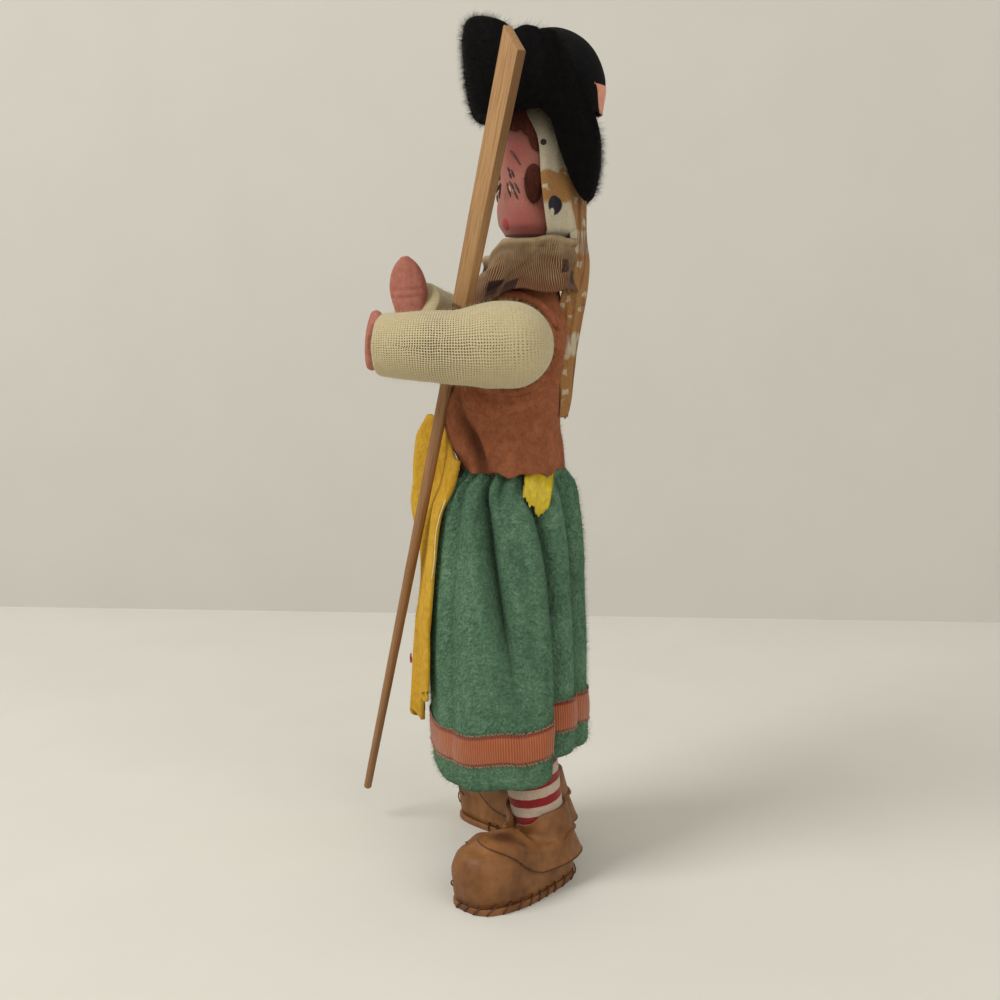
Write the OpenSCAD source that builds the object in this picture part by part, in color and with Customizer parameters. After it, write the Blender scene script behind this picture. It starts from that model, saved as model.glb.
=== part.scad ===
// Costume doll of cloth and felt on wire: stuffed body, folk dress, plush hat, and an oar held in the left arm.
// Millimetres, +Z up. The doll faces -Y and its left side is +X. Z = 0 is the floor under the soles.

/* [Body] */
// Height of the hip wire above the floor
hip_height = 62; // [60:0.5:65]
// Height from the hip wire to the shoulder wire
torso_height = 76.7; // [75:0.1:79]
// Drop from the shoulder wire to the waist
waist_drop = 31; // [29.5:0.1:31.5]
// Height from the shoulder wire to the top of the neck
neck_height = 24.8; // [24:0.1:27]
// Width of the chest over the stuffing
chest_width = 28.6; // [27:0.1:30]
// Width of the waist over the stuffing
waist_width = 26; // [24.5:0.1:26.6]
// Radius of the stuffed neck
neck_radius = 5; // [4:0.1:6]
// Radius of the armature wires
wire_radius = 0.9; // [0.6:0.05:1.2]

/* [Head] */
// Height of the stuffed head
head_height = 40.5; // [39:0.1:42]
// Width of the stuffed head
head_width = 22.6; // [21.5:0.1:23]
// Depth of the stuffed head
head_depth = 18.8; // [18:0.1:19.4]
// Thickness of the felt face
face_thickness = 0.8; // [0.6:0.05:0.9]
// Thickness of the hair
hair_thickness = 0.8; // [0.6:0.05:0.9]
// Thickness of the headscarf and its tail
scarf_thickness = 0.8; // [0.5:0.05:0.9]
// Length of the scarf tail down the back
tail_length = 52; // [40:1:56]
// Width of the scarf tail
tail_width = 13; // [9:0.5:16]
// Depth of the folds along the scarf tail
tail_fold_depth = 1.2; // [0.4:0.1:1.3]

/* [Hat] */
// Height of the crown above its base
crown_height = 20; // [18:0.1:22]
// Width of the crown
crown_width = 27.4; // [26.8:0.1:28]
// Wall of the crown
crown_wall = 1.2; // [0.8:0.1:1.3]
// Width of the brim's ring, middle to middle
brim_width = 35.8; // [35.4:0.1:37]
// Height of the brim where it stands up over the forehead
brim_front_height = 26.5; // [22:0.5:28]
// Height of the brim at the sides
brim_side_height = 21; // [19:0.5:22]
// Rise of the brim's flap over the brim, behind each ear
brim_flap_rise = 10; // [6:0.5:11]
// Drop of the brim's flap under the brim, behind each ear
brim_flap_drop = 6.8; // [4:0.2:7.4]
// Height of the ribbon round the back of the crown
band_height = 5; // [3:0.5:7]

/* [Arms] */
// Radius of the sleeve at the shoulder
shoulder_radius = 10.4; // [9.6:0.1:10.8]
// Radius of the sleeve at the wrist
wrist_radius = 7.5; // [6.5:0.1:8.5]
// Thickness of the gauze sleeve
sleeve_thickness = 0.6; // [0.4:0.05:1]
// Length of a felt hand beyond the sleeve
hand_length = 14; // [11:0.5:16]
// Width of the right hand
right_hand_width = 10.4; // [8:0.2:12]
// Width of the left hand, which closes the sleeve's end
left_hand_width = 15; // [13:0.2:16]
// Thickness of a felt hand
hand_thickness = 5; // [3:0.2:6]

/* [Legs and shoes] */
// Distance between the middles of the legs at the hips
hip_spacing = 20; // [19.4:0.2:21]
// Radius of the stocking at the calf
calf_radius = 7.5; // [6.6:0.1:7.6]
// Radius of the stocking at the ankle
ankle_radius = 6.8; // [6:0.1:7]
// Thickness of the stocking
stocking_thickness = 0.6; // [0.4:0.05:0.9]
// Length of a sole
sole_length = 38; // [36:0.5:40]
// Width of a sole at the ball of the foot
sole_width = 17; // [16:0.1:18]
// Thickness of a sole
sole_thickness = 1.6; // [1.2:0.1:2.4]
// Height of the shoe over the instep
shoe_height = 13; // [12:0.1:14]
// Height of the shoe's collar above the ankle, at the heel
collar_height = 8; // [6:0.5:9]
// Thickness of the shoe leather
leather_thickness = 0.9; // [0.6:0.05:1.1]
// Angle by which the toes point outwards
toe_out = 47; // [40:1:52]
// Number of whip stitches round a toe
stitch_count = 11; // [7:1:15]

/* [Clothes] */
// Thickness of the felt of the vest
vest_thickness = 1.2; // [0.8:0.1:1.3]
// Thickness of the felt of the skirt
skirt_thickness = 1.2; // [0.8:0.1:1.4]
// Height of the skirt from its hem to the waist
skirt_length = 82; // [76:0.5:84]
// Width of the skirt at its hem, between the folds
skirt_hem_width = 46; // [45.5:0.5:48]
// Depth of the skirt's folds at the hem
skirt_fold_depth = 1.5; // [0.5:0.1:2]
// Number of main folds round the skirt
skirt_fold_count = 9; // [6:1:11]
// Rise of the hem behind the sides
skirt_hem_rise = 7; // [0:0.5:8]
// Height of the ribbon above the hem
ribbon_rise = 8; // [5:0.5:12]
// Width of the ribbon
ribbon_width = 8; // [5:0.5:10]
// Thickness of the ribbon
ribbon_thickness = 0.6; // [0.4:0.05:0.8]
// Length of the apron
apron_length = 78; // [70:0.5:80]
// Width of the apron
apron_width = 26; // [22:0.5:28]
// Thickness of the felt of the apron
apron_thickness = 1.2; // [0.8:0.1:1.4]
// Height that the apron's far fold stands off the skirt
apron_bulge = 10; // [6:0.2:10.4]
// Length of the satin ribbon end below the vest
tie_length = 11; // [7:0.5:14]
// Width of the satin ribbon end
tie_width = 7.5; // [5:0.5:9]
// Thickness of the kerchief round the neck
kerchief_thickness = 0.6; // [0.4:0.05:0.8]
// Depth of the kerchief's folds
kerchief_fold_depth = 0.5; // [0:0.1:0.6]

/* [Oar] */
// Length of the oar below the thread loop that holds it
oar_below_loop = 145; // [138:0.5:147]
// Length of the blade
blade_length = 67; // [55:0.5:70]
// Width of the blade at its top
blade_width = 6.2; // [5:0.1:7]
// Width of the blade where it meets the shaft
blade_neck_width = 4.6; // [4.4:0.1:5.2]
// Thickness of the blade
blade_thickness = 2.8; // [2:0.1:3.2]
// Radius of the shaft at the blade
shaft_radius = 1.7; // [1.4:0.05:1.9]
// Radius of the shaft at its tip
shaft_tip_radius = 1.1; // [0.8:0.05:1.3]
// Thickness of the thread of the loop
loop_thread = 0.9; // [0.6:0.05:1]

/* [Clearances] */
// Running clearance round a wire in a moving limb
wire_clearance = 0.06; // [0.02:0.01:0.1]
// Gap round the ball of a limb in its socket
socket_clearance = 0.5; // [0.4:0.05:0.6]
// Extra gap round the shoulder at the vest's armhole
armhole_ease = 0.6; // [0.4:0.1:1]
// Gap between layers of cloth
layer_gap = 0.15; // [0.1:0.01:0.2]
// Gap between the oar's shaft and its loop
loop_clearance = 0.35; // [0.2:0.05:0.5]

/* [Hidden] */
$fn = 32;

// Heights of the body
shoulder_z = hip_height + torso_height;
neck_top_z = shoulder_z + neck_height;
head_base_z = neck_top_z + 0.4;
head_top_z = head_base_z + head_height;
head_middle_z = head_base_z + head_height / 2;
waist_z = shoulder_z - waist_drop;
vest_hem_z = waist_z - 2.2;

// Places of the joints in the doll's own axes
spine_y = 4;
shoulder_y = -1.5;
hip_y = -1;
shoulder_x = chest_width / 2 + shoulder_radius + 0.2;
hip_x = hip_spacing / 2;
left_shoulder = [shoulder_x, shoulder_y, shoulder_z];
right_shoulder = [-shoulder_x, shoulder_y, shoulder_z];

// Layers on the head, as offsets from the stuffing
head_y = 5.8;
face_in = layer_gap;
face_out = face_in + face_thickness;
hair_in = face_out + layer_gap;
hair_out = hair_in + hair_thickness;
scarf_in = hair_out + layer_gap;
scarf_out = scarf_in + scarf_thickness;

// Layers on the chest, as offsets from the stuffing
vest_in = layer_gap;
vest_out = vest_in + vest_thickness;
kerchief_in = vest_out + kerchief_fold_depth + layer_gap;
kerchief_out = kerchief_in + kerchief_thickness;

// Layers on the leg and the foot, as offsets from the stuffing
leg_calf_radius = calf_radius - stocking_thickness - layer_gap;
leg_ankle_radius = ankle_radius - stocking_thickness - layer_gap;
leg_ball_radius = calf_radius;
vamp_in = layer_gap;
vamp_out = vamp_in + leather_thickness;
quarter_in = vamp_out + layer_gap;
quarter_out = quarter_in + leather_thickness;
collar_in = stocking_thickness + 4 * layer_gap;
collar_out = collar_in + leather_thickness;

// The oar's line: it passes through the loop and leans to the left and to the back
oar_lean_left = 16.4;
oar_lean_back = 11.4;
oar_twist = -46;
loop_ring_radius = shaft_radius + loop_clearance + loop_thread / 2;
oar_loop_place = [shoulder_x - 11.1, shoulder_y - 12.1, shoulder_z + 7.3];
blade_start = oar_below_loop + loop_thread / 2 + 0.3;
oar_direction = [sin(oar_lean_left) * cos(oar_lean_back), sin(oar_lean_back),
    cos(oar_lean_left) * cos(oar_lean_back)];
oar_tip = oar_loop_place - oar_below_loop * oar_direction;

// The crown of the hat, and the reach of the whole doll to the front and to the back
crown_base_z = head_top_z - 6;
crown_front_y = -4;
crown_back_y = 22.4;
axis_y = -(oar_tip[1] - shaft_tip_radius + crown_back_y + layer_gap + scarf_thickness) / 2;

// Profiles of the stuffed body: height, half width, front, back
hip_half_width = hip_x + 5;
torso_sides = 18;
torso_rings = [
    [hip_height + 0.4, hip_half_width - 1, -10, 8.5],
    [hip_height + 9, hip_half_width, -11.5, 9.5],
    [waist_z - 10, waist_width / 2, -11.6, 9.6],
    [waist_z, waist_width / 2, -12.3, 9.9],
    [waist_z + 10.5, chest_width / 2 - 0.2, -15, 9.8],
    [waist_z + 20, chest_width / 2, -14, 10],
    [shoulder_z, chest_width / 2, -11.3, 10.6],
    [shoulder_z + 9.6, chest_width / 2 - 1.6, -8.2, 9.8],
    [shoulder_z + 15, chest_width / 2 - 4.4, -4.6, 9.4],
    [shoulder_z + 17.6, neck_radius + 1.8, spine_y - neck_radius - 1.8, spine_y + neck_radius + 1.8],
    [neck_top_z, neck_radius, spine_y - neck_radius, spine_y + neck_radius]];

// Profiles of the skirt: height, half width, front, back
skirt_hem_z = waist_z + 1 - skirt_length;
skirt_rings = [
    [skirt_hem_z, skirt_hem_width / 2, -21, 20],
    [skirt_hem_z + 20, skirt_hem_width / 2 - 0.6, -22, 19.2],
    [skirt_hem_z + 38, skirt_hem_width / 2 - 2, -22, 18.4],
    [waist_z - 25, 19, -20.8, 17.4],
    [waist_z - 12, 17.6, -19.4, 16],
    [waist_z - 5.4, 16.2, -17.4, 13.4],
    [vest_hem_z, waist_width / 2 + skirt_thickness + 0.4, -13.9, 11.5],
    [waist_z + 1, waist_width / 2 + skirt_thickness + 0.3, -13.8, 11.4]];

// Solids made of rows of points

// Faces between two rows of points; flip turns them inside out
function strip(a, b, n, closed, flip = false) = [
    for (j = [0 : n - (closed ? 1 : 2)])
        let (k = (j + 1) % n)
            each flip
                ? [[a + j, b + k, b + j], [a + j, a + k, b + k]]
                : [[a + j, b + j, b + k], [a + j, b + k, a + k]]];

function middle(ring) = [for (k = [0 : 2]) [for (p = ring) p[k]] * [for (p = ring) 1] / len(ring)];

// Closed stuffed form through rings that run from its first end to its last
module stuffed(rings) {
    n = len(rings[0]);
    m = len(rings);
    first = m * n;
    polyhedron(
        concat([for (ring = rings) each ring], [middle(rings[0]), middle(rings[m - 1])]),
        concat(
            [for (i = [0 : m - 2]) each strip(i * n, i * n + n, n, true)],
            [for (j = [0 : n - 1]) [first, j, (j + 1) % n]],
            [for (j = [0 : n - 1]) [first + 1, (m - 1) * n + (j + 1) % n, (m - 1) * n + j]]));
}

// Cloth with an outer and an inner face; closed cloth runs right round
module cloth(outer, inner, closed) {
    n = len(outer[0]);
    m = len(outer);
    s = m * n;
    edges = closed ? [] : [
        for (i = [0 : m - 2])
            let (a = i * n, b = a + n, c = a + n - 1, d = b + n - 1)
                each [[a, s + a, s + b], [a, s + b, b], [c, d, s + d], [c, s + d, s + c]]];
    polyhedron(
        concat([for (row = outer) each row], [for (row = inner) each row]),
        concat(
            [for (i = [0 : m - 2]) each strip(i * n, i * n + n, n, closed)],
            [for (i = [0 : m - 2]) each strip(s + i * n, s + i * n + n, n, closed, true)],
            strip(s, 0, n, closed),
            strip((m - 1) * n, s + (m - 1) * n, n, closed),
            edges));
}

// Roll of plush that runs right round, through closed sections
module roll(sections) {
    n = len(sections[0]);
    m = len(sections);
    polyhedron(
        [for (section = sections) each section],
        [for (i = [0 : m - 1]) each strip(i * n, ((i + 1) % m) * n, n, true)]);
}

function unit(v) = v / norm(v);

// Round ring across a direction, counted from the side that faces +X or up
function ring_across(place, direction, wide, high, sides) =
    let (d = unit(direction), across = unit(cross([0, 0, 1], d)), up = cross(d, across))
        [for (i = [0 : sides - 1])
            let (a = 360 * i / sides) place + wide * cos(a) * across + high * sin(a) * up];

// Column of a table of heights
function column(table, k) = [for (row = table) [row[0], row[k]]];

// Point at an angle round a profile, with the surface moved out by an offset
function round_point(table, angle, z, offset) =
    let (front = lookup(z, column(table, 2)), back = lookup(z, column(table, 3)))
        [(lookup(z, column(table, 1)) + offset) * cos(angle),
            (front + back) / 2 + ((back - front) / 2 + offset) * sin(angle), z];

function angles(sides) = [for (i = [0 : sides - 1]) 360 * i / sides];
function steps(from, to, count) = [for (i = [0 : count]) from + (to - from) * i / count];

// Stands the doll so that the origin is under the middle of its outline
module at_axis() translate([0, axis_y, 0]) children();

module mirror_for(side) mirror([side < 0 ? 1 : 0, 0, 0]) children();

module cross_wire(y, z, reach, radius)
    translate([-reach, y, z]) rotate([0, 90, 0]) cylinder(r = radius, h = 2 * reach);

// Body

shoulder_wire_reach = shoulder_x + 4;
hip_wire_reach = hip_x + 4;
spine_bottom_z = hip_height + 8;
spine_top_z = head_middle_z + 4;

function torso_ring(z, offset) = [for (a = angles(torso_sides)) round_point(torso_rings, a, z, offset)];

module spine_rod(gap, end_gap) translate([0, spine_y, spine_bottom_z])
    cylinder(r = wire_radius + gap, h = spine_top_z - spine_bottom_z + end_gap);

module limb_sockets(ease) {
    for (side = [-1, 1]) {
        translate([side * shoulder_x, shoulder_y, shoulder_z])
            sphere(r = shoulder_radius + socket_clearance + ease);
        translate([side * hip_x, hip_y, hip_height]) sphere(r = leg_ball_radius + socket_clearance);
    }
}

module torso_stuffing() color("wheat") at_axis() difference() {
    union() {
        stuffed([for (ring = torso_rings) torso_ring(ring[0], 0)]);
        crotch_width = hip_spacing - 2 * (leg_ball_radius + socket_clearance);
        translate([-crotch_width / 2, hip_y - 6, hip_height - 5]) cube([crotch_width, 11, 8]);
    }
    limb_sockets(0);
    spine_rod(0, 0);
    cross_wire(shoulder_y, shoulder_z, shoulder_wire_reach, wire_radius);
    cross_wire(hip_y, hip_height, hip_wire_reach, wire_radius);
}

module spine_wire() color("silver") at_axis() spine_rod(0, 0);
module shoulder_wire() color("silver") at_axis()
    cross_wire(shoulder_y, shoulder_z, shoulder_wire_reach, wire_radius);
module hip_wire() color("silver") at_axis()
    cross_wire(hip_y, hip_height, hip_wire_reach, wire_radius);

// Clothes on the body

// The vest flares clear of the skirt's gathers at its hem and follows the stuffing above them
function vest_flare(z) = lookup(z, [[vest_hem_z, 2.6], [waist_z + 1.4, 2], [waist_z + 5, 0]]);
vest_heights = [vest_hem_z, waist_z + 1.4, waist_z + 5, waist_z + 10.5, waist_z + 20, shoulder_z,
    shoulder_z + 9.6, shoulder_z + 15];

module vest() color("sienna") at_axis() difference() {
    cloth(
        [for (z = vest_heights) torso_ring(z, vest_out + vest_flare(z))],
        [for (z = vest_heights) torso_ring(z, vest_in + vest_flare(z))],
        true);
    limb_sockets(armhole_ease);
    cross_wire(shoulder_y, shoulder_z, shoulder_wire_reach, wire_radius + layer_gap);
}

// The kerchief lies on the shoulders and stands up round the neck, lower at the front
kerchief_rings = [
    [shoulder_z + 12, chest_width / 2 + 0.6, -9.6, 10.2],
    [shoulder_z + 15, chest_width / 2 - 0.2, -7.8, 10.4],
    [shoulder_z + 20, chest_width / 2 - 2.4, -4.6, 10.6],
    [neck_top_z + 1.6, chest_width / 2 - 4.4, -2.4, 10.4]];
function kerchief_dip(a, z) = z - (1 - sin(a)) * lookup(z, [[shoulder_z + 12, 1], [neck_top_z + 1.6, 0.6]]);
function kerchief_point(a, z, offset) =
    let (fold = kerchief_fold_depth * cos(12 * a + 8 * (z - shoulder_z)))
    let (p = round_point(kerchief_rings, a, z, offset + fold))
        [p[0], p[1], kerchief_dip(a, z)];
kerchief_heights = [for (ring = kerchief_rings) ring[0]];

module neckerchief() color("tan") at_axis() cloth(
    [for (z = kerchief_heights) [for (a = angles(32)) kerchief_point(a, z, kerchief_out)]],
    [for (z = kerchief_heights) [for (a = angles(32)) kerchief_point(a, z, kerchief_in)]],
    true);

// The tail of the scarf hangs from under the brim, clear of the nape, over the kerchief and down the back
tail_top_z = neck_top_z + 9;
function tail_point(u, v, offset) =
    let (z = tail_top_z - tail_length * v)
        [tail_width * (u - 0.5) * (1 - 0.25 * v),
            lookup(z, [[shoulder_z - 20, 12.6], [shoulder_z, 13.6], [shoulder_z + 12, 15.4],
                [neck_top_z + 1.8, 16.4], [neck_top_z + 6, 17.8], [tail_top_z, 18.6]])
                + tail_fold_depth * cos(540 * u) + offset,
            z];

tail_shares = steps(1, 0, 8);
tail_columns = steps(1, 0, 6);

module scarf_tail() color("linen") at_axis() cloth(
    [for (v = tail_shares) [for (u = tail_columns) tail_point(u, v, scarf_thickness)]],
    [for (v = tail_shares) [for (u = tail_columns) tail_point(u, v, 0)]],
    false);

// The skirt hangs from the waist in folds that deepen towards the hem, which steps up behind the sides.
// The folds of the right side mirror those of the left
function skirt_fold(a, v) = let (b = a > 90 && a < 270 ? 180 - a : a) skirt_fold_depth * pow(1 - v, 0.6)
    * (0.65 * cos(skirt_fold_count * b - 108) + 0.35 * cos((skirt_fold_count + 4) * b));
function skirt_hem(a) = skirt_hem_z + skirt_hem_rise * lookup(sin(a), [[0.3, 0], [0.62, 1]]);
function skirt_point(a, v, offset) =
    let (z = skirt_hem(a) + v * (waist_z + 1 - skirt_hem(a)),
        still = lookup(z, [[waist_z - 12, 1], [waist_z - 5, 0]]))
        round_point(skirt_rings, a, z, offset + still * skirt_fold(a, v));
skirt_shares = [0, 0.22, 0.45, 0.69, 0.85, 0.93, 0.965, 1];
skirt_sides = 48;

module skirt() color("seagreen") at_axis() cloth(
    [for (v = skirt_shares) [for (a = angles(skirt_sides)) skirt_point(a, v, 0)]],
    [for (v = skirt_shares) [for (a = angles(skirt_sides)) skirt_point(a, v, -skirt_thickness)]],
    true);

function ribbon_share(a, rise) = rise / (waist_z + 1 - skirt_hem(a));
function ribbon_row(rise, offset) =
    [for (a = angles(skirt_sides)) skirt_point(a, ribbon_share(a, rise), offset)];

module skirt_ribbon() color("chocolate") at_axis() cloth(
    [for (rise = [ribbon_rise, ribbon_rise + ribbon_width]) ribbon_row(rise, layer_gap + ribbon_thickness)],
    [for (rise = [ribbon_rise, ribbon_rise + ribbon_width]) ribbon_row(rise, layer_gap)],
    true);

// The apron hangs in front of the skirt; the oar lies across it and its far side swells out
apron_top_z = waist_z + 9;
apron_far_x = -9.5;
apron_fold_reach = 4;
apron_swell_shares = [[0, 0.75], [0.07, 1], [0.16, 0.98], [0.27, 0.72], [0.45, 0.4], [0.62, 0.3],
    [0.85, 0.5], [1, 0.47]];
function apron_swell(x, z) =
    let (v = (apron_top_z - z) / apron_length, d = (x - apron_far_x) / apron_fold_reach)
        apron_bulge * lookup(v, apron_swell_shares) * exp(-d * d);
function apron_rest(x, z) =
    let (front = lookup(z, [[skirt_hem_z + 38, -22.5 - skirt_fold_depth],
            [waist_z - 25, -20.9 - 0.6 * skirt_fold_depth],
            [waist_z - 12, -19.6 - 0.5 * skirt_fold_depth], [waist_z - 5.4, -17.9], [waist_z + 2, -16.7]]),
        round = lookup(z, [[waist_z - 25, 6], [waist_z - 12, 7], [waist_z, 12], [apron_top_z, 13]]),
        d = x / 20)
        front + round * d * d;
function apron_point(u, v, offset) =
    let (z = apron_top_z - apron_length * v, x = apron_width * (u - 0.5) * (0.8 + 0.2 * v))
        [x, apron_rest(x, z) - apron_swell(x, z) - offset, z];
function apron_face(offset) = [for (v = steps(1, 0, 10)) [for (u = steps(0, 1, 12)) apron_point(u, v, offset)]];

module apron() color("goldenrod") at_axis() cloth(apron_face(apron_thickness), apron_face(0), false);

// The dot is sewn on the crest of the far fold, near the hem
apron_dot_radius = 1.3;
apron_dot_thickness = 0.6;
apron_dot_share = 0.82;
module apron_dot() color("crimson") at_axis()
    translate(apron_point(0.5 + apron_far_x / apron_width, apron_dot_share, apron_thickness + 2 * layer_gap))
        rotate([90, 0, 0]) cylinder(r = apron_dot_radius, h = apron_dot_thickness);

// The satin ribbon's end comes out from under the vest at the left, towards the back
tie_angle = 24;
tie_thickness = 0.4;
tie_top_share = 0.972;
tie_lift = 0.3;
function tie_point(u, v, offset) =
    let (a = tie_angle + (u - 0.5) * tie_width / skirt_hem_width * 180)
        skirt_point(a, tie_top_share - v * tie_length / skirt_length, layer_gap + offset + tie_lift * v);
module ribbon_end() color("gold") at_axis() cloth(
    [for (v = steps(1, 0, 4)) [for (u = steps(0, 1, 4)) tie_point(u, v, tie_thickness)]],
    [for (v = steps(1, 0, 4)) [for (u = steps(0, 1, 4)) tie_point(u, v, 0)]],
    false);

// Head and hat

// The head is an egg with a flat face; layers of cloth follow it at their own offsets
function head_share(z) = pow(max(0, 1 - pow(abs((z - head_middle_z) / (head_height / 2)), 2.3)), 1 / 2.3);
function head_point(a, z, offset) =
    [(head_width / 2 * head_share(z) + offset) * cos(a),
        head_y + (head_depth / 2 * head_share(z) + offset) * sin(a), z];
head_heights = [for (i = [0 : 10]) head_middle_z - head_height / 2 * cos(12 + i * 15.6)];

module head_layer(turns, heights, inside, outside) cloth(
    [for (z = heights) [for (a = turns) head_point(a, z, outside)]],
    [for (z = heights) [for (a = turns) head_point(a, z, inside)]],
    false);

module head_stuffing() color("wheat") at_axis() difference() {
    stuffed([for (z = head_heights) [for (a = angles(18)) head_point(a, z, 0)]]);
    spine_rod(wire_clearance, layer_gap);
}

module face() color("pink") at_axis()
    head_layer(steps(182, 358, 12), steps(head_base_z + 2, head_top_z - 6, 8), face_in, face_out);

// Hair shows at the temples and along the forehead
module hair() color("saddlebrown") at_axis() {
    head_layer(steps(318, 352, 4), steps(head_middle_z - 9, head_top_z - 7.6, 5), hair_in, hair_out);
    head_layer(steps(188, 222, 4), steps(head_middle_z - 9, head_top_z - 7.6, 5), hair_in, hair_out);
    head_layer(steps(222.4, 317.6, 6), steps(head_top_z - 13.6, head_top_z - 7.6, 2), hair_in, hair_out);
}

scarf_hem_z = neck_top_z + 3;
module headscarf() color("linen") at_axis()
    head_layer(steps(-8, 188, 14), steps(scarf_hem_z, head_top_z - 4, 8), scarf_in, scarf_out);

crown_table = [for (i = [0 : 6])
    let (v = 0.95 * i / 6, s = pow(1 - pow(v, 2.2), 1 / 2.2), mid = (crown_front_y + crown_back_y) / 2,
        half = (crown_back_y - crown_front_y) / 2)
        [crown_base_z + crown_height * v, crown_width / 2 * s, mid - half * s, mid + half * s]];

module crown_form(offset, drop) stuffed([
    for (row = crown_table)
        [for (a = angles(20)) round_point(crown_table, a, row[0], -offset) - [0, 0, drop]]]);

module hat_crown() color("black") at_axis() difference() {
    crown_form(0, 0);
    crown_form(crown_wall, crown_wall);
}

band_base_z = crown_base_z - 3;
band_start = 50;
module hat_band() color("lightsalmon") at_axis() cloth(
    [for (z = [band_base_z, band_base_z + band_height])
        [for (a = steps(band_start, 180 - band_start, 10))
            round_point(crown_table, a, z, layer_gap + scarf_thickness)]],
    [for (z = [band_base_z, band_base_z + band_height])
        [for (a = steps(band_start, 180 - band_start, 10)) round_point(crown_table, a, z, layer_gap)]],
    false);

// The plush brim stands up over the forehead and at the sides,
// hangs in a flap behind each ear and lies on the nape.
// Each section is an oval: front, side and back values blend into one another
function blend_round(a, front, side, back) =
    let (s = sin(a)) side + (s < 0 ? (front - side) : (back - side)) * s * s;
function brim_section(a) =
    let (behind = 90 - abs(90 - a),
        flap_rise = behind > 0 ? brim_flap_rise * sin(2 * a) * sin(2 * a) : 0,
        flap_drop = behind > 30 ? brim_flap_drop * sin(3 * (behind - 30)) : 0,
        place = [brim_width / 2 * sign(cos(a)) * pow(abs(cos(a)), 0.4), blend_round(a, -8.8, 5.2, 20),
            head_middle_z + blend_round(a, 22, 19.5, -1.2) + (flap_rise - flap_drop) / 2],
        out = [cos(a), sin(a), 0],
        rise = unit([0, blend_round(a, -0.1, 0, 0.1), 1]),
        thick = unit(out - (out * rise) * rise),
        high = (blend_round(a, brim_front_height, brim_side_height, 15) + flap_rise + flap_drop) / 2,
        half = blend_round(a, 4.4, 3.4, 2))
        [for (b = angles(10)) place + half * cos(b) * thick + high * sin(b) * rise];

module hat_brim() color("black") at_axis() roll([for (a = angles(28)) brim_section(360 - a)]);

// Arms

left_elbow = left_shoulder + [1, -16, -0.6];
left_wrist = left_shoulder + [-2.4, -30.5, -0.2];
right_elbow = right_shoulder + [-0.8, -16.5, 1];
right_wrist = right_shoulder + [9.6, -24.6, 8.6];

// Place and direction along an arm, on a curve from the shoulder by the elbow to the wrist
function arm_place(arm, t) = (1 - t) * (1 - t) * arm[0] + 2 * t * (1 - t) * arm[1] + t * t * arm[2];
function arm_way(arm, t) = unit((1 - t) * (arm[1] - arm[0]) + t * (arm[2] - arm[1]));
arm_shares = [0, 0.18, 0.36, 0.54, 0.72, 0.88, 1];
arm_sides = 14;

function arm_radius(t) = shoulder_radius + (wrist_radius - shoulder_radius) * t;

// Rings of an arm: the round shoulder first, then along to the wrist
function arm_rings(arm, inset, end_share) = concat(
    [for (b = [66, 42, 20])
        ring_across(arm[0] - (shoulder_radius - inset) * sin(b) * arm_way(arm, 0), arm_way(arm, 0),
            (shoulder_radius - inset) * cos(b), (shoulder_radius - inset) * cos(b), arm_sides)],
    [for (t = arm_shares)
        let (r = arm_radius(t) - inset)
            ring_across(arm_place(arm, t * end_share), arm_way(arm, t * end_share), r, r, arm_sides)]);

left_arm = [left_shoulder, left_elbow, left_wrist];
right_arm = [right_shoulder, right_elbow, right_wrist];
arm_core_inset = sleeve_thickness + layer_gap;
arm_wire_start = 0.2;
arm_wire_end = 0.9;

module arm_wire_rod(arm) {
    start = arm_place(arm, arm_wire_start);
    line = arm_place(arm, arm_wire_end) - start;
    translate(start) rotate([0, acos(line[2] / norm(line)), atan2(line[1], line[0])])
        cylinder(r = wire_radius, h = norm(line));
}

module arm_bore(extra) cross_wire(shoulder_y, shoulder_z, shoulder_wire_reach + 1, wire_radius + extra);

module arm_stuffing(arm) color("wheat") at_axis() difference() {
    stuffed(arm_rings(arm, arm_core_inset, 0.98));
    arm_bore(wire_clearance);
    arm_wire_rod(arm);
}

module sleeve(arm) color("beige") at_axis() difference() {
    cloth(arm_rings(arm, 0, 1), arm_rings(arm, sleeve_thickness, 1), true);
    arm_bore(layer_gap);
}

module left_arm_stuffing() arm_stuffing(left_arm);
module right_arm_stuffing() arm_stuffing(right_arm);
module left_arm_wire() color("silver") at_axis() arm_wire_rod(left_arm);
module right_arm_wire() color("silver") at_axis() arm_wire_rod(right_arm);
module left_sleeve() sleeve(left_arm);
module right_sleeve() sleeve(right_arm);

// A felt mitten from the wrist towards its tip; share of its width at each share of its length
mitten_widths = [[0, 0.62], [0.2, 0.86], [0.45, 1], [0.7, 0.86], [0.88, 0.56], [1, 0.22]];
module mitten(base, way, wide_way, width) {
    d = unit(way);
    wide = unit(wide_way - (wide_way * d) * d);
    thick = cross(d, wide);
    stuffed([
        for (row = mitten_widths)
            [for (b = angles(12))
                base + d * hand_length * row[0]
                    + wide * width / 2 * row[1] * cos(b)
                    + thick * hand_thickness / 2 * (0.4 + 0.6 * row[1]) * sin(b)]]);
}

// The left hand turns inwards across its sleeve's end and the right hand points up
left_hand_gap = 1.6;
left_hand_way = [-0.72, -0.34, 0.1];
left_hand_flat = [0, 0.25, 1];
right_hand_gap = 3.2;
right_hand_way = [0.1, -0.34, 0.94];
right_hand_flat = [0.3, 1, 0.3];

module left_hand() color("pink") at_axis()
    mitten(arm_place(left_arm, 1) + left_hand_gap * arm_way(left_arm, 1), left_hand_way, left_hand_flat,
        left_hand_width);
module right_hand() color("pink") at_axis()
    mitten(arm_place(right_arm, 1) + right_hand_gap * arm_way(right_arm, 1), right_hand_way, right_hand_flat,
        right_hand_width);

// Oar and its thread loop

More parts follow.
